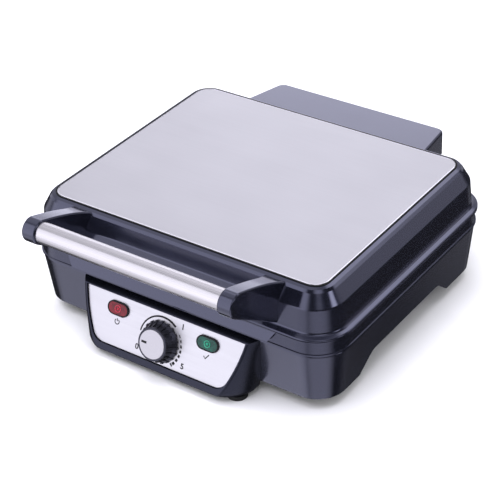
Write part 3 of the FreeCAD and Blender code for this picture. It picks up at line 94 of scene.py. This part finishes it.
def finished(owner, tone, rough=None, relief=None, worn=None, fixed=None):
    """Completes a material whose colour, roughness and relief follow patterns.

    tone: a pattern, then the sRGB colours of its low and high parts.
    rough: a pattern, then the roughness of its low and high parts.
    relief: a pattern, then its full height in millimetres and how much of that counts.
    worn: a mask, then the sRGB colour that shows where it is 1.
    fixed: the shader's inputs that are the same all over."""
    inputs = dict(fixed or {})

    source, low, high = tone
    ramp = add(owner, "ShaderNodeValToRGB", {"Fac": source})
    for stop, code, position in zip(ramp.color_ramp.elements, (low, high), (NOISE_LOW, NOISE_HIGH)):
        stop.color = srgb(code)
        stop.position = position
    inputs["Base Color"] = ramp.outputs["Color"]

    if worn:
        mask, bare = worn
        both = {"Factor": mask, "A": ramp.outputs["Color"], "B": srgb(bare)}
        inputs["Base Color"] = add(owner, "ShaderNodeMix", both, data_type="RGBA").outputs["Result"]

    if rough:
        source, low, high = rough
        limits = {"From Min": NOISE_LOW, "From Max": NOISE_HIGH, "To Min": low, "To Max": high}
        inputs["Roughness"] = add(owner, "ShaderNodeMapRange", {"Value": source, **limits}).outputs["Result"]

    if relief:
        source, height, strength = relief
        bump = add(owner, "ShaderNodeBump", {"Height": source, "Distance": height * MM, "Strength": strength})
        inputs["Normal"] = bump.outputs["Normal"]

    shader = add(owner, "ShaderNodeBsdfPrincipled", inputs)
    add(owner, "ShaderNodeOutputMaterial", {"Surface": shader.outputs["BSDF"]})
    return owner


def new_material(name):
    """A material with no nodes yet."""
    return emptied(bpy.data.materials.new(name))


def polished_abs():
    """Blue-black ABS from a polished mould: soft-edged reflections with a cool cast and a faint flow ripple."""
    abs_gloss = new_material("polished_abs")
    flow = pattern(abs_gloss, (45, 45, 30))
    ripple = pattern(abs_gloss, (3.5, 3.5, 3.5), detail=1.0)
    return finished(
        abs_gloss,
        tone=(flow, "#0e0f14", "#13141a"),
        rough=(flow, 0.17, 0.24),
        relief=(ripple, 0.02, 0.35),
        fixed={
            "IOR": 1.54,
            "Specular IOR Level": 0.9,
            "Specular Tint": srgb("#d3d8ff"),
            "Coat Weight": 0.8,
            "Coat Roughness": 0.09,
            "Coat Tint": srgb("#eeefff"),
        },
    )


def satin_abs():
    """The same ABS from a mould with a softer polish: darker, with duller and wider reflections."""
    abs_satin = new_material("satin_abs")
    flow = pattern(abs_satin, (45, 45, 30))
    ripple = pattern(abs_satin, (2.5, 2.5, 2.5), detail=1.0)
    return finished(
        abs_satin,
        tone=(flow, "#0c0d12", "#121319"),
        rough=(flow, 0.24, 0.32),
        relief=(ripple, 0.02, 0.35),
        fixed={"IOR": 1.54, "Specular Tint": srgb("#d3d8ff")},
    )


def brushed_stainless():
    """Stainless sheet, belt-brushed from side to side: an even silver sheen drawn into long faint streaks.

    The real scratches are about 0.1 mm apart; they are drawn 0.7 mm apart so that they show."""
    steel = new_material("brushed_stainless")
    streaks = pattern(steel, (60, 0.7, 0.7), detail=4.0)
    clouds = pattern(steel, (70, 50, 50), detail=1.0)
    return finished(
        steel,
        tone=(clouds, "#dad9dd", "#dedde1"),
        rough=(streaks, 0.40, 0.50),
        relief=(streaks, 0.01, 0.25),
        fixed={"Metallic": 1.0},
    )


def buffed_edge_painted_highlight():
    """Stainless edge rolled over and buffed: its rounded section catches the light, and its colour is painted
    lighter than the brushed face as a painted highlight, so it draws a white line round it.

    The real scratches are finer than 0.1 mm; they are drawn 0.6 mm wide so that they show."""
    steel = new_material("buffed_edge_painted_highlight")
    scratches = pattern(steel, (6, 6, 0.6))
    return finished(
        steel,
        # Lighter tone than the sheet: a painted highlight along the plate's edge.
        tone=(scratches, "#e2e1e6", "#edecf0"),
        rough=(scratches, 0.14, 0.24),
        relief=(scratches, 0.005, 0.3),
        fixed={"Metallic": 1.0},
    )


def turned_disc():
    """Stainless disc faced on a lathe: greyer than the sheet, with fine rings that catch the light in a fan.

    The real rings are about 0.1 mm apart; they are drawn 0.4 mm apart so that they show."""
    steel = new_material("turned_disc")
    place = add(steel, "ShaderNodeTexCoord").outputs["Object"]
    arm = add(steel, "ShaderNodeVectorMath", {0: place, 1: dial["pos_m"]}, operation="SUBTRACT").outputs["Vector"]
    across = add(steel, "ShaderNodeVectorMath", {0: arm, 1: dial["axis"]}, operation="CROSS_PRODUCT")
    radius = add(steel, "ShaderNodeVectorMath", {0: across.outputs["Vector"]}, operation="LENGTH").outputs["Value"]
    spacing = {"W": radius, "Scale": 1 / (0.4 * MM), "Detail": 2.0}
    rings = add(steel, "ShaderNodeTexNoise", spacing, noise_dimensions="1D").outputs["Fac"]
    return finished(
        steel,
        tone=(rings, "#b8b6bb", "#cac8cc"),
        rough=(rings, 0.3, 0.42),
        relief=(rings, 0.02, 0.5),
        fixed={"Metallic": 1.0},
    )


def satin_tube():
    """Stainless tube polished along its length: bright lengthwise bands with fine drawn lines.

    The real lines are about 0.1 mm apart; they are drawn 0.6 mm apart so that they show."""
    steel = new_material("satin_tube")
    lines = pattern(steel, (140, 0.6, 0.6), detail=4.0)
    return finished(
        steel,
        tone=(lines, "#d0ced1", "#e0dddf"),
        rough=(lines, 0.24, 0.36),
        relief=(lines, 0.015, 0.4),
        fixed={"Metallic": 1.0},
    )


def nonstick_coating():
    """PTFE sprayed on cast aluminium: charcoal with a low sheen, fine speckle and paler worn peaks."""
    ptfe = new_material("nonstick_coating")
    speckle = pattern(ptfe, (0.8, 0.8, 0.8), detail=2.0)
    edges = add(ptfe, "ShaderNodeNewGeometry").outputs["Pointiness"]
    peaks = add(ptfe, "ShaderNodeMapRange", {"Value": edges, "From Min": 0.52, "From Max": 0.62})
    return finished(
        ptfe,
        tone=(speckle, "#232326", "#2e2e31"),
        rough=(speckle, 0.36, 0.5),
        relief=(speckle, 0.03, 0.5),
        worn=(peaks.outputs["Result"], "#45454a"),
        fixed={"IOR": 1.4},
    )


def heated_steel():
    """Steel tube that has been red hot: brown and blue-grey temper colours, dull and slightly scaly."""
    steel = new_material("heated_steel")
    temper = pattern(steel, (14, 14, 14), detail=2.0)
    scale = pattern(steel, (1.2, 1.2, 1.2))
    return finished(
        steel,
        tone=(temper, "#4a423d", "#6d6a6c"),
        rough=(scale, 0.42, 0.6),
        relief=(scale, 0.03, 0.4),
        fixed={"Metallic": 1.0},
    )


def bright_aluminium():
    """Pressed aluminium sheet: pale and mirror-soft, with rolling lines along it."""
    aluminium = new_material("bright_aluminium")
    rolled = pattern(aluminium, (80, 2, 2))
    return finished(
        aluminium,
        tone=(rolled, "#c6c6ca", "#dcdcdf"),
        rough=(rolled, 0.22, 0.34),
        relief=(rolled, 0.02, 0.3),
        fixed={"Metallic": 1.0},
    )


def grained_nylon():
    """Black nylon from a spark-eroded mould: matt, with a fine leathery grain that breaks up highlights.

    The real grain is about 0.3 mm; it is drawn at 0.9 mm so that it shows."""
    nylon = new_material("grained_nylon")
    grain = pattern(nylon, (0.9, 0.9, 0.9), detail=2.0)
    cast = pattern(nylon, (30, 30, 30))
    return finished(
        nylon,
        tone=(cast, "#121215", "#1a1a1e"),
        rough=(grain, 0.28, 0.4),
        relief=(grain, 0.04, 0.4),
        fixed={"IOR": 1.53, "Specular IOR Level": 0.65, "Specular Tint": srgb("#dfe1ff")},
    )


def foot_rubber():
    """Moulded rubber: charcoal and flat, with a dusting of bloom."""
    rubber = new_material("foot_rubber")
    bloom = pattern(rubber, (4, 4, 4))
    return finished(
        rubber,
        tone=(bloom, "#121214", "#1c1c1e"),
        rough=(bloom, 0.68, 0.85),
        relief=(bloom, 0.04, 0.3),
        fixed={"IOR": 1.52, "Specular IOR Level": 0.3},
    )


def tinted_polycarbonate(name, deep, bright):
    """Dyed polycarbonate: a wet, jewel-like gloss, partly see-through, its colour drifting in soft swirls between
    two tints.
    """
    dyed = new_material(name)
    swirl = pattern(dyed, (7, 7, 7), detail=1.0)
    return finished(
        dyed,
        tone=(swirl, deep, bright),
        rough=(swirl, 0.05, 0.1),
        relief=(swirl, 0.02, 0.2),
        fixed={"IOR": 1.58, "Specular IOR Level": 0.25, "Transmission Weight": 0.35},
    )


def bulb_glass():
    """Thin lamp glass: clear, sharp highlights and a trace of draw lines."""
    glass = new_material("bulb_glass")
    drawn = pattern(glass, (1.5, 6, 1.5), detail=1.0)
    return finished(
        glass,
        tone=(drawn, "#e8ddd6", "#f4eee9"),
        rough=(drawn, 0.02, 0.05),
        fixed={"IOR": 1.5, "Transmission Weight": 0.9},
    )


def baked_enamel():
    """Black baked enamel on pressed steel: satin, with the slight pebble of a sprayed coat."""
    enamel = new_material("baked_enamel")
    pebble = pattern(enamel, (1.6, 1.6, 1.6), detail=1.0)
    return finished(
        enamel,
        tone=(pebble, "#16161a", "#1d1d21"),
        rough=(pebble, 0.3, 0.4),
        relief=(pebble, 0.03, 0.4),
        fixed={"IOR": 1.5},
    )


def zinc_plate():
    """Zinc-plated steel: bluish bright metal with a cloudy passivated film."""
    zinc = new_material("zinc_plate")
    film = pattern(zinc, (3, 3, 3))
    return finished(
        zinc,
        tone=(film, "#a9acb1", "#c8cacd"),
        rough=(film, 0.25, 0.4),
        relief=(film, 0.01, 0.3),
        fixed={"Metallic": 1.0},
    )


def screen_ink():
    """Black screen-printed ink: thin, slightly uneven and duller than the metal under it."""
    black = new_material("screen_ink")
    mottle = pattern(black, (0.6, 0.6, 0.6), detail=2.0)
    return finished(
        black,
        tone=(mottle, "#101012", "#1c1c1f"),
        rough=(mottle, 0.45, 0.6),
        fixed={"IOR": 1.5, "Specular IOR Level": 0.25},
    )


finishes = {
    "black_gloss_plastic": polished_abs(),
    "brushed_steel_sheet": brushed_stainless(),
    "satin_steel_tube": satin_tube(),
    "coated_aluminium": nonstick_coating(),
    "element_steel": heated_steel(),
    "reflector_aluminium": bright_aluminium(),
    "black_matte_plastic": grained_nylon(),
    "foot_rubber": foot_rubber(),
    "red_lens": tinted_polycarbonate("red_polycarbonate", "#5f0517", "#980b25"),
    "green_lens": tinted_polycarbonate("green_polycarbonate", "#023c34", "#056352"),
    "bulb_glass": bulb_glass(),
    "hinge_steel": baked_enamel(),
    "plated_steel": zinc_plate(),
}
ink = screen_ink()

worn_by = {part["node"]: finishes[part["material_slot"]] for part in frame["record"]["subparts"]}
worn_by["knob_cap"] = turned_disc()
worn_by["control_housing"] = satin_abs()
for node, finish in worn_by.items():
    for slot in frame["nodes"][node].material_slots:
        slot.material = finish


# ---------------------------------------------------------------------------
# Printed marks on the sloping panel
# ---------------------------------------------------------------------------

ACROSS = Vector((1, 0, 0))
OUTWARD = -Vector(dial["axis"]).normalized()
UP_SLOPE = OUTWARD.cross(ACROSS)
PANEL = Matrix.Translation(dial["pos_m"]) @ Matrix((ACROSS, UP_SLOPE, OUTWARD)).transposed().to_4x4()
INK_LIFT = 0.03  # underside of the print above the metal, mm
INK_THICK = 0.06
INK = (INK_LIFT, INK_LIFT + INK_THICK)


def new_object(name, data):
    """A mesh, curve, light or camera as an object in the scene."""
    made = bpy.data.objects.new(name, data)
    bpy.context.scene.collection.objects.link(made)
    return made


def piece(name, mesh, body, finish, place=PANEL):
    """A mesh drawn in millimetres, on the panel unless another place is given, as a piece riding on a body."""
    mesh.transform(Matrix.Scale(MM, 4))
    mesh.transform(place)
    mesh.materials.clear()
    mesh.materials.append(finish)
    made = new_object(name, mesh)
    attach(made, body)


def stroke(sheet, spine, widths, height):
    """A flat printed line along a spine of points, with its own width at each point, given a thickness."""
    rails = []
    section = ((1, height[1]), (-1, height[1]), (-1, height[0]), (1, height[0]))
    for i, point in enumerate(spine):
        ahead = spine[min(i + 1, len(spine) - 1)] - spine[max(i - 1, 0)]
        side = Vector((-ahead.y, ahead.x)).normalized() * widths[i] / 2
        rails.append([sheet.verts.new((*(point + side * k), z)) for k, z in section])
    for a, b in zip(rails, rails[1:]):
        for k in range(4):
            sheet.faces.new((a[k], a[(k + 1) % 4], b[(k + 1) % 4], b[k]))
    sheet.faces.new(rails[0][::-1])
    sheet.faces.new(rails[-1])


def arc(radius, start, end, steps, centre=(0, 0)):
    """Points on an arc, angles in degrees from the panel's right-hand side."""
    turns = [math.radians(start + (end - start) * i / steps) for i in range(steps + 1)]
    return [Vector(centre) + radius * Vector((math.cos(t), math.sin(t))) for t in turns]


def circle(radius, steps=32):
    """Points round a whole circle, none of them twice."""
    return arc(radius, 0, 360, steps)[:-1]


def closed_mesh(name, sheet):
    """A mesh from finished faces, all turned outwards."""
    bmesh.ops.recalc_face_normals(sheet, faces=sheet.faces)
    mesh = bpy.data.meshes.new(name)
    sheet.to_mesh(mesh)
    sheet.free()
    return mesh


def numeral(text, size, x, y):
    """A printed number in slightly bold strokes, centred at x, y."""
    curve = bpy.data.curves.new("numeral", "FONT")
    curve.body = text
    curve.size = size
    curve.offset = size / 40
    curve.extrude = INK_THICK / 2
    curve.align_x = "CENTER"
    curve.align_y = "CENTER"
    holder = new_object("numeral", curve)
    bpy.context.view_layer.update()
    mesh = bpy.data.meshes.new_from_object(holder.evaluated_get(bpy.context.evaluated_depsgraph_get()))
    bpy.data.objects.remove(holder)
    mesh.transform(Matrix.Translation((x, y, INK_LIFT + INK_THICK / 2)))
    return mesh


def panel_box(name):
    """A node's corners in millimetres on the panel: across, up the slope and outward."""
    inward = PANEL.inverted()
    spots = [inward @ v.co / MM for v in frame["nodes"][name].data.vertices]
    return [[pick(p[k] for p in spots) for k in range(3)] for pick in (min, max)]


# The dial's scale: an arc over the knob, then dashes that thicken towards the hottest setting.
# Radii and widths are in millimetres, angles in degrees.
SWEEP_RADIUS, SWEEP_START, SWEEP_END, SWEEP_STEPS = 21.2, 172, 53, 48
SWEEP_WIDTH, SWEEP_GAIN = 1.1, 0.8
DASH_RADIUS, DASH_ANGLE, DASH_STEPS = 20.8, 7, 6
DASH_STARTS = (34, 22, 10, -2, -14, -26, -38)
DASH_WIDTH, DASH_GAIN = 1.0, 0.25
STOP_START, STOP_END, STOP_STEPS, STOP_WIDTH = -47, -51, 4, 3.0

sheet = bmesh.new()
sweep = arc(SWEEP_RADIUS, SWEEP_START, SWEEP_END, SWEEP_STEPS)
stroke(sheet, sweep, [SWEEP_WIDTH + SWEEP_GAIN * i / SWEEP_STEPS for i in range(len(sweep))], INK)
for n, start in enumerate(DASH_STARTS):
    dash = arc(DASH_RADIUS, start, start - DASH_ANGLE, DASH_STEPS)
    stroke(sheet, dash, [DASH_WIDTH + DASH_GAIN * n] * len(dash), INK)
stop = arc(DASH_RADIUS, STOP_START, STOP_END, STOP_STEPS)
stroke(sheet, stop, [STOP_WIDTH] * len(stop), INK)
piece("dial_scale", closed_mesh("dial_scale", sheet), "base", ink)

NUMBER_SIZE = 6.8
NUMBERS = (("0", 208, 25.4), ("1", 44, 27.4), ("5", -29, 28.0))  # text, angle and radius on the dial
for text, angle, radius in NUMBERS:
    t = math.radians(angle)
    mark = numeral(text, NUMBER_SIZE, radius * math.cos(t), radius * math.sin(t))
    piece(f"dial_number_{text}", mark, "base", ink)

# ---------------------------------------------------------------------------
# Lamps: a dark ring round each window as painted shadow of the gap round the lens, rings in it tinted brighter as a
# painted glow and highlight, and a sign under it
# ---------------------------------------------------------------------------

END_STEPS = 12  # divisions of a window's round end
# The dark ring round each lens is painted shadow: it stands in for the shade in the gap between lens and panel.
GAP_SHADE_OUT, GAP_SHADE_IN, GAP_SHADE_PROUD = 0.4, 0.7, 0.12  # past the lens's edge, over it and above it, mm
RING_OUTER, RING_INNER, RING_PROUD = 3.2, 2.3, 0.3
DOME_RADIUS, DOME_RISE, DOME_RINGS, DOME_STEPS = 1.3, 0.6, 5, 24
SUNK = 0.1  # how far the ring and the dome reach into the lens
# Power sign: a broken circle under the lamp, its gap at the top, and a bar in the gap.
POWER_DROP, POWER_RADIUS, POWER_START, POWER_END, POWER_STEPS, POWER_LINE = 11.5, 2.2, 125, 415, 32, 0.75
POWER_BAR = ((0, -11.2), (0, -8.6))
TICK, TICK_LINE = ((-2.4, -11.2), (-0.7, -13.2), (2.6, -9.0)), 0.9


def stadium(half_length, half_width):
    """The outline of a slot with round ends, as a closed loop of points."""
    straight = half_length - half_width
    right = arc(half_width, -90, 90, END_STEPS, (straight, 0))
    left = arc(half_width, 90, 270, END_STEPS, (-straight, 0))
    return right + left


def join(sheet, a, b):
    """Faces between two loops of the same number of points."""
    for k in range(len(a)):
        after = (k + 1) % len(a)
        sheet.faces.new((a[k], a[after], b[after], b[k]))


def closed_band(sheet, rims):
    """A closed band through loops of points, each at its own height."""
    loops = [[sheet.verts.new((*p, z)) for p in loop] for loop, z in rims]
    for a, b in zip(loops, loops[1:] + loops[:1]):
        join(sheet, a, b)


def band(sheet, outer, inner, low, high):
    """A flat closed band between two loops, from one height to another."""
    closed_band(sheet, ((outer, low), (outer, high), (inner, high), (inner, low)))


def dome(sheet, base):
    """The closed low dome in the middle of a lamp's rings, standing on the height `base`."""
    loops = []
    for i in range(DOME_RINGS):
        t = math.pi / 2 * i / DOME_RINGS
        height = base + DOME_RISE * math.sin(t)
        loops.append([sheet.verts.new((*p, height)) for p in circle(DOME_RADIUS * math.cos(t), DOME_STEPS)])
    top = sheet.verts.new((0, 0, base + DOME_RISE))
    for a, b in zip(loops, loops[1:]):
        join(sheet, a, b)
    for k in range(DOME_STEPS):
        sheet.faces.new((loops[-1][k], loops[-1][(k + 1) % DOME_STEPS], top))
    sheet.faces.new(loops[0][::-1])


# The rings and dome are real relief, but their tints are much brighter than the lens: a painted glow and highlight
# of the lamp behind.
glows = (("power", "red", "#c01c38", "#e0405a"), ("ready", "green", "#0d8b6c", "#35b994"))
for lamp, glow, deep, bright in glows:
    lit = tinted_polycarbonate(f"{glow}_polycarbonate_painted_glow", deep, bright)
    low, high = panel_box(f"{lamp}_lamp_lens")
    spot = PANEL @ Matrix.Translation(((low[0] + high[0]) / 2 * MM, (low[1] + high[1]) / 2 * MM, 0))
    half_length, half_width, front = (high[0] - low[0]) / 2, (high[1] - low[1]) / 2, high[2]

    # Dark ring round the window: painted shadow of the gap round the lens.
    sheet = bmesh.new()
    outer = stadium(half_length + GAP_SHADE_OUT, half_width + GAP_SHADE_OUT)
    inner = stadium(half_length - GAP_SHADE_IN, half_width - GAP_SHADE_IN)
    band(sheet, outer, inner, INK_LIFT, front + GAP_SHADE_PROUD)
    piece(f"{lamp}_lamp_gap_shadow_ring", closed_mesh("gap_shadow_ring", sheet), "base", finishes["foot_rubber"], spot)

    # Brighter copy of the lens plastic on the rings and dome: painted glow, the lamp itself gives no light here.
    sheet = bmesh.new()
    band(sheet, circle(RING_OUTER), circle(RING_INNER), front - SUNK, front + RING_PROUD)
    dome(sheet, front - SUNK)
    piece(f"{lamp}_lamp_rings", closed_mesh("rings", sheet), "base", lit, spot)

    sheet = bmesh.new()
    if lamp == "power":
        ring = arc(POWER_RADIUS, POWER_START, POWER_END, POWER_STEPS, (0, -POWER_DROP))
        stroke(sheet, ring, [POWER_LINE] * len(ring), INK)
        stroke(sheet, [Vector(p) for p in POWER_BAR], [POWER_LINE] * len(POWER_BAR), INK)
    else:
        stroke(sheet, [Vector(p) for p in TICK], [TICK_LINE] * len(TICK), INK)
    piece(f"{lamp}_lamp_sign", closed_mesh("sign", sheet), "base", ink, spot)

# ---------------------------------------------------------------------------
# Rolled edge of the top plate, and a dark ring in the groove round it: painted shadow standing in for the shade in
# the gap
# ---------------------------------------------------------------------------

top_low, top_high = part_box("top_plate")
plate_centre = Vector(((top_low.x + top_high.x) / 2, (top_low.y + top_high.y) / 2, top_high.z))
plate_half = (top_high - top_low) / 2 / MM
on_plate = Matrix.Translation(plate_centre)

PLATE_CORNER, CORNER_STEPS = 12.5, 10
# Section of the edge: how far out from the plate's side, and how far above its face, mm.
EDGE = ((-1.0, 0.0), (-1.0, 0.1), (-0.8, 0.28), (-0.5, 0.32), (-0.2, 0.2), (-0.02, 0.0))
# The dark ring fills the groove and laps over the shell's rim: a painted shadow of the gap round the plate.
SHADE_RING_OUT, SHADE_RING_IN, SHADE_RING_DEPTH, SHADE_RING_PROUD = 1.35, 0.06, 0.9, 0.12


def plate_outline(grown):
    """The plate's rounded rectangle, grown by some millimetres."""
    loop = []
    for x, y, start in ((1, 1, 0), (-1, 1, 90), (-1, -1, 180), (1, -1, 270)):
        middle = (x * (plate_half.x - PLATE_CORNER), y * (plate_half.y - PLATE_CORNER))
        loop += arc(PLATE_CORNER + grown, start, start + 90, CORNER_STEPS, middle)
    return loop


sheet = bmesh.new()
closed_band(sheet, [(plate_outline(out), rise) for out, rise in EDGE])
# The rolled edge: real rounding, with its lighter colour a painted highlight.
piece("plate_edge", closed_mesh("plate_edge", sheet), "lid", buffed_edge_painted_highlight(), on_plate)

# Dark rubber ring in the groove: painted shadow where the gap round the plate lies in shade.
sheet = bmesh.new()
band(sheet, plate_outline(SHADE_RING_OUT), plate_outline(SHADE_RING_IN), -SHADE_RING_DEPTH, SHADE_RING_PROUD)
piece("plate_gap_shadow_ring", closed_mesh("plate_gap_shadow_ring", sheet), "lid", finishes["foot_rubber"], on_plate)

# ---------------------------------------------------------------------------
# Knob pointer, on the cap's face
# ---------------------------------------------------------------------------

POINTER = (Vector((-10.4, 0)), Vector((-5.2, 0)))
POINTER_WIDTH, POINTER_DEPTH, POINTER_PROUD = 2.0, 0.1, 0.06
cap_face = panel_box("knob_cap")[1][2]
sheet = bmesh.new()
stroke(sheet, POINTER, [POINTER_WIDTH] * len(POINTER), (cap_face - POINTER_DEPTH, cap_face + POINTER_PROUD))
piece("knob_pointer", closed_mesh("knob_pointer", sheet), "knob", ink)


# ---------------------------------------------------------------------------
# Stage: floor, surrounding light and camera
# ---------------------------------------------------------------------------


def compass(azimuth, elevation):
    """A direction: azimuth 0 is towards the user's side, 90 the object's right; elevation above the floor."""
    a, e = math.radians(azimuth), math.radians(elevation)
    return Vector((math.sin(a) * math.cos(e), -math.cos(a) * math.cos(e), math.sin(e)))


def matt_card():
    """Uncoated pale card for the floor: dead matt, with a faint cloudiness in the fibre."""
    card = new_material("matt_card")
    fibre = pattern(card, (40, 40, 40))
    return finished(card, tone=(fibre, "#f1f1f3", "#f5f5f7"), fixed={"Roughness": 0.9})


FLOOR_RADIUS = 4.0  # m
rim = bmesh.new()
bmesh.ops.create_circle(rim, cap_ends=True, segments=96, radius=FLOOR_RADIUS)
floor_mesh = bpy.data.meshes.new("floor")
rim.to_mesh(floor_mesh)
rim.free()
floor_mesh.materials.append(matt_card())
floor = new_object("floor", floor_mesh)
floor.visible_glossy = False

# Soft panels of the light tent: direction, half-angles in degrees of the full light and of its fade, strength.
TENT = [
    (compass(-143, 34), 12, 40, 0.66),
    (compass(-147, 20), 7, 16, 1.8),
    (compass(-135, 48), 4, 12, 1.4),
    (compass(-112, 60), 10, 30, 0.85),
    (compass(-150, -10), 10, 21, 1.75),
    (compass(180, 48), 8, 16, 2.2),
    (compass(133, 8), 8, 24, 0.58),
    (compass(140, 32), 5, 14, 1.7),
    (compass(97, 18), 5, 12, 3.8),
    (compass(-43, 42), 10, 24, 1.6),
    (compass(-28, 8), 20, 42, 1.65),
    (compass(-31, -25), 18, 44, 1.0),
    (compass(-32, -60), 8, 24, 1.3),
    (compass(38, -42), 14, 42, 1.0),
    (compass(143, -58), 6, 24, 0.14),
    (compass(167, -33), 4, 12, 0.2),
    (compass(-90, 18), 18, 34, 0.85),
    (compass(45, 42), 8, 24, 1.5),
    (compass(180, 12), 10, 24, 0.7),
    (compass(0, 88), 18, 40, 0.6),
]
TENT_FILL = 0.04  # strength between the panels
TENT_TINT = "#f4f3ff"
PAPER = "#fbfbfc"  # the even white that all but reflections see

world = emptied(bpy.data.worlds.new("light_tent"))
bpy.context.scene.world = world
looking = add(world, "ShaderNodeTexCoord").outputs["Generated"]
total = TENT_FILL
for direction, full, outer, strength in TENT:
    near = add(world, "ShaderNodeVectorMath", {0: looking, 1: direction}, operation="DOT_PRODUCT")
    fade = {"From Min": math.cos(math.radians(outer)), "From Max": math.cos(math.radians(full)), "To Max": strength}
    panel = add(
        world, "ShaderNodeMapRange", {"Value": near.outputs["Value"], **fade}, interpolation_type="SMOOTHSTEP"
    )
    brighter = add(world, "ShaderNodeMath", {0: panel.outputs["Result"], 1: total}, operation="MAXIMUM")
    total = brighter.outputs["Value"]
tent = add(world, "ShaderNodeBackground", {"Color": srgb(TENT_TINT), "Strength": total})
paper = add(world, "ShaderNodeBackground", {"Color": srgb(PAPER), "Strength": 1.0})
mirrored = add(world, "ShaderNodeLightPath").outputs["Is Glossy Ray"]
seen = {0: mirrored, 1: paper.outputs["Background"], 2: tent.outputs["Background"]}
mixed = add(world, "ShaderNodeMixShader", seen)
add(world, "ShaderNodeOutputWorld", {"Surface": mixed.outputs["Shader"]})

# One square soft light over the plate gives the shadow on the floor; shiny surfaces see the tent instead.
OVERHEAD, OVERHEAD_DISTANCE, OVERHEAD_SIZE, OVERHEAD_POWER = compass(-20, 78), 1.8, 2.0, 50
softbox = bpy.data.lights.new("overhead", "AREA")
softbox.size = OVERHEAD_SIZE
softbox.energy = OVERHEAD_POWER
softbox.color = srgb(TENT_TINT)[:3]
overhead = new_object("overhead", softbox)
overhead.location = plate_centre + OVERHEAD * OVERHEAD_DISTANCE
overhead.rotation_euler = OVERHEAD.to_track_quat("Z", "Y").to_euler()
overhead.visible_glossy = False

# The camera stands off to the user's right, looking down, with a slight roll.
# It aims a little below and to the left of the plate's centre; distances are in metres.
AZIMUTH, ELEVATION, ROLL = 36.5, 33.61, math.radians(-2.84)
DISTANCE, AIM_ACROSS, AIM_UP, FOCAL_LENGTH = 1.35439, 0.00598, 0.06186, 115.2
back = compass(AZIMUTH, ELEVATION)
level = Vector((math.cos(math.radians(AZIMUTH)), math.sin(math.radians(AZIMUTH)), 0))
upright = back.cross(level)
right = math.cos(ROLL) * level + math.sin(ROLL) * upright
up = math.cos(ROLL) * upright - math.sin(ROLL) * level
lens = bpy.data.cameras.new("camera")
lens.lens = FOCAL_LENGTH
camera = new_object("camera", lens)
stand = plate_centre - AIM_ACROSS * right - AIM_UP * up + DISTANCE * back
camera.matrix_world = Matrix.Translation(stand) @ Matrix((right, up, back)).transposed().to_4x4()
bpy.context.scene.camera = camera
bpy.context.scene.view_settings.view_transform = "Standard"
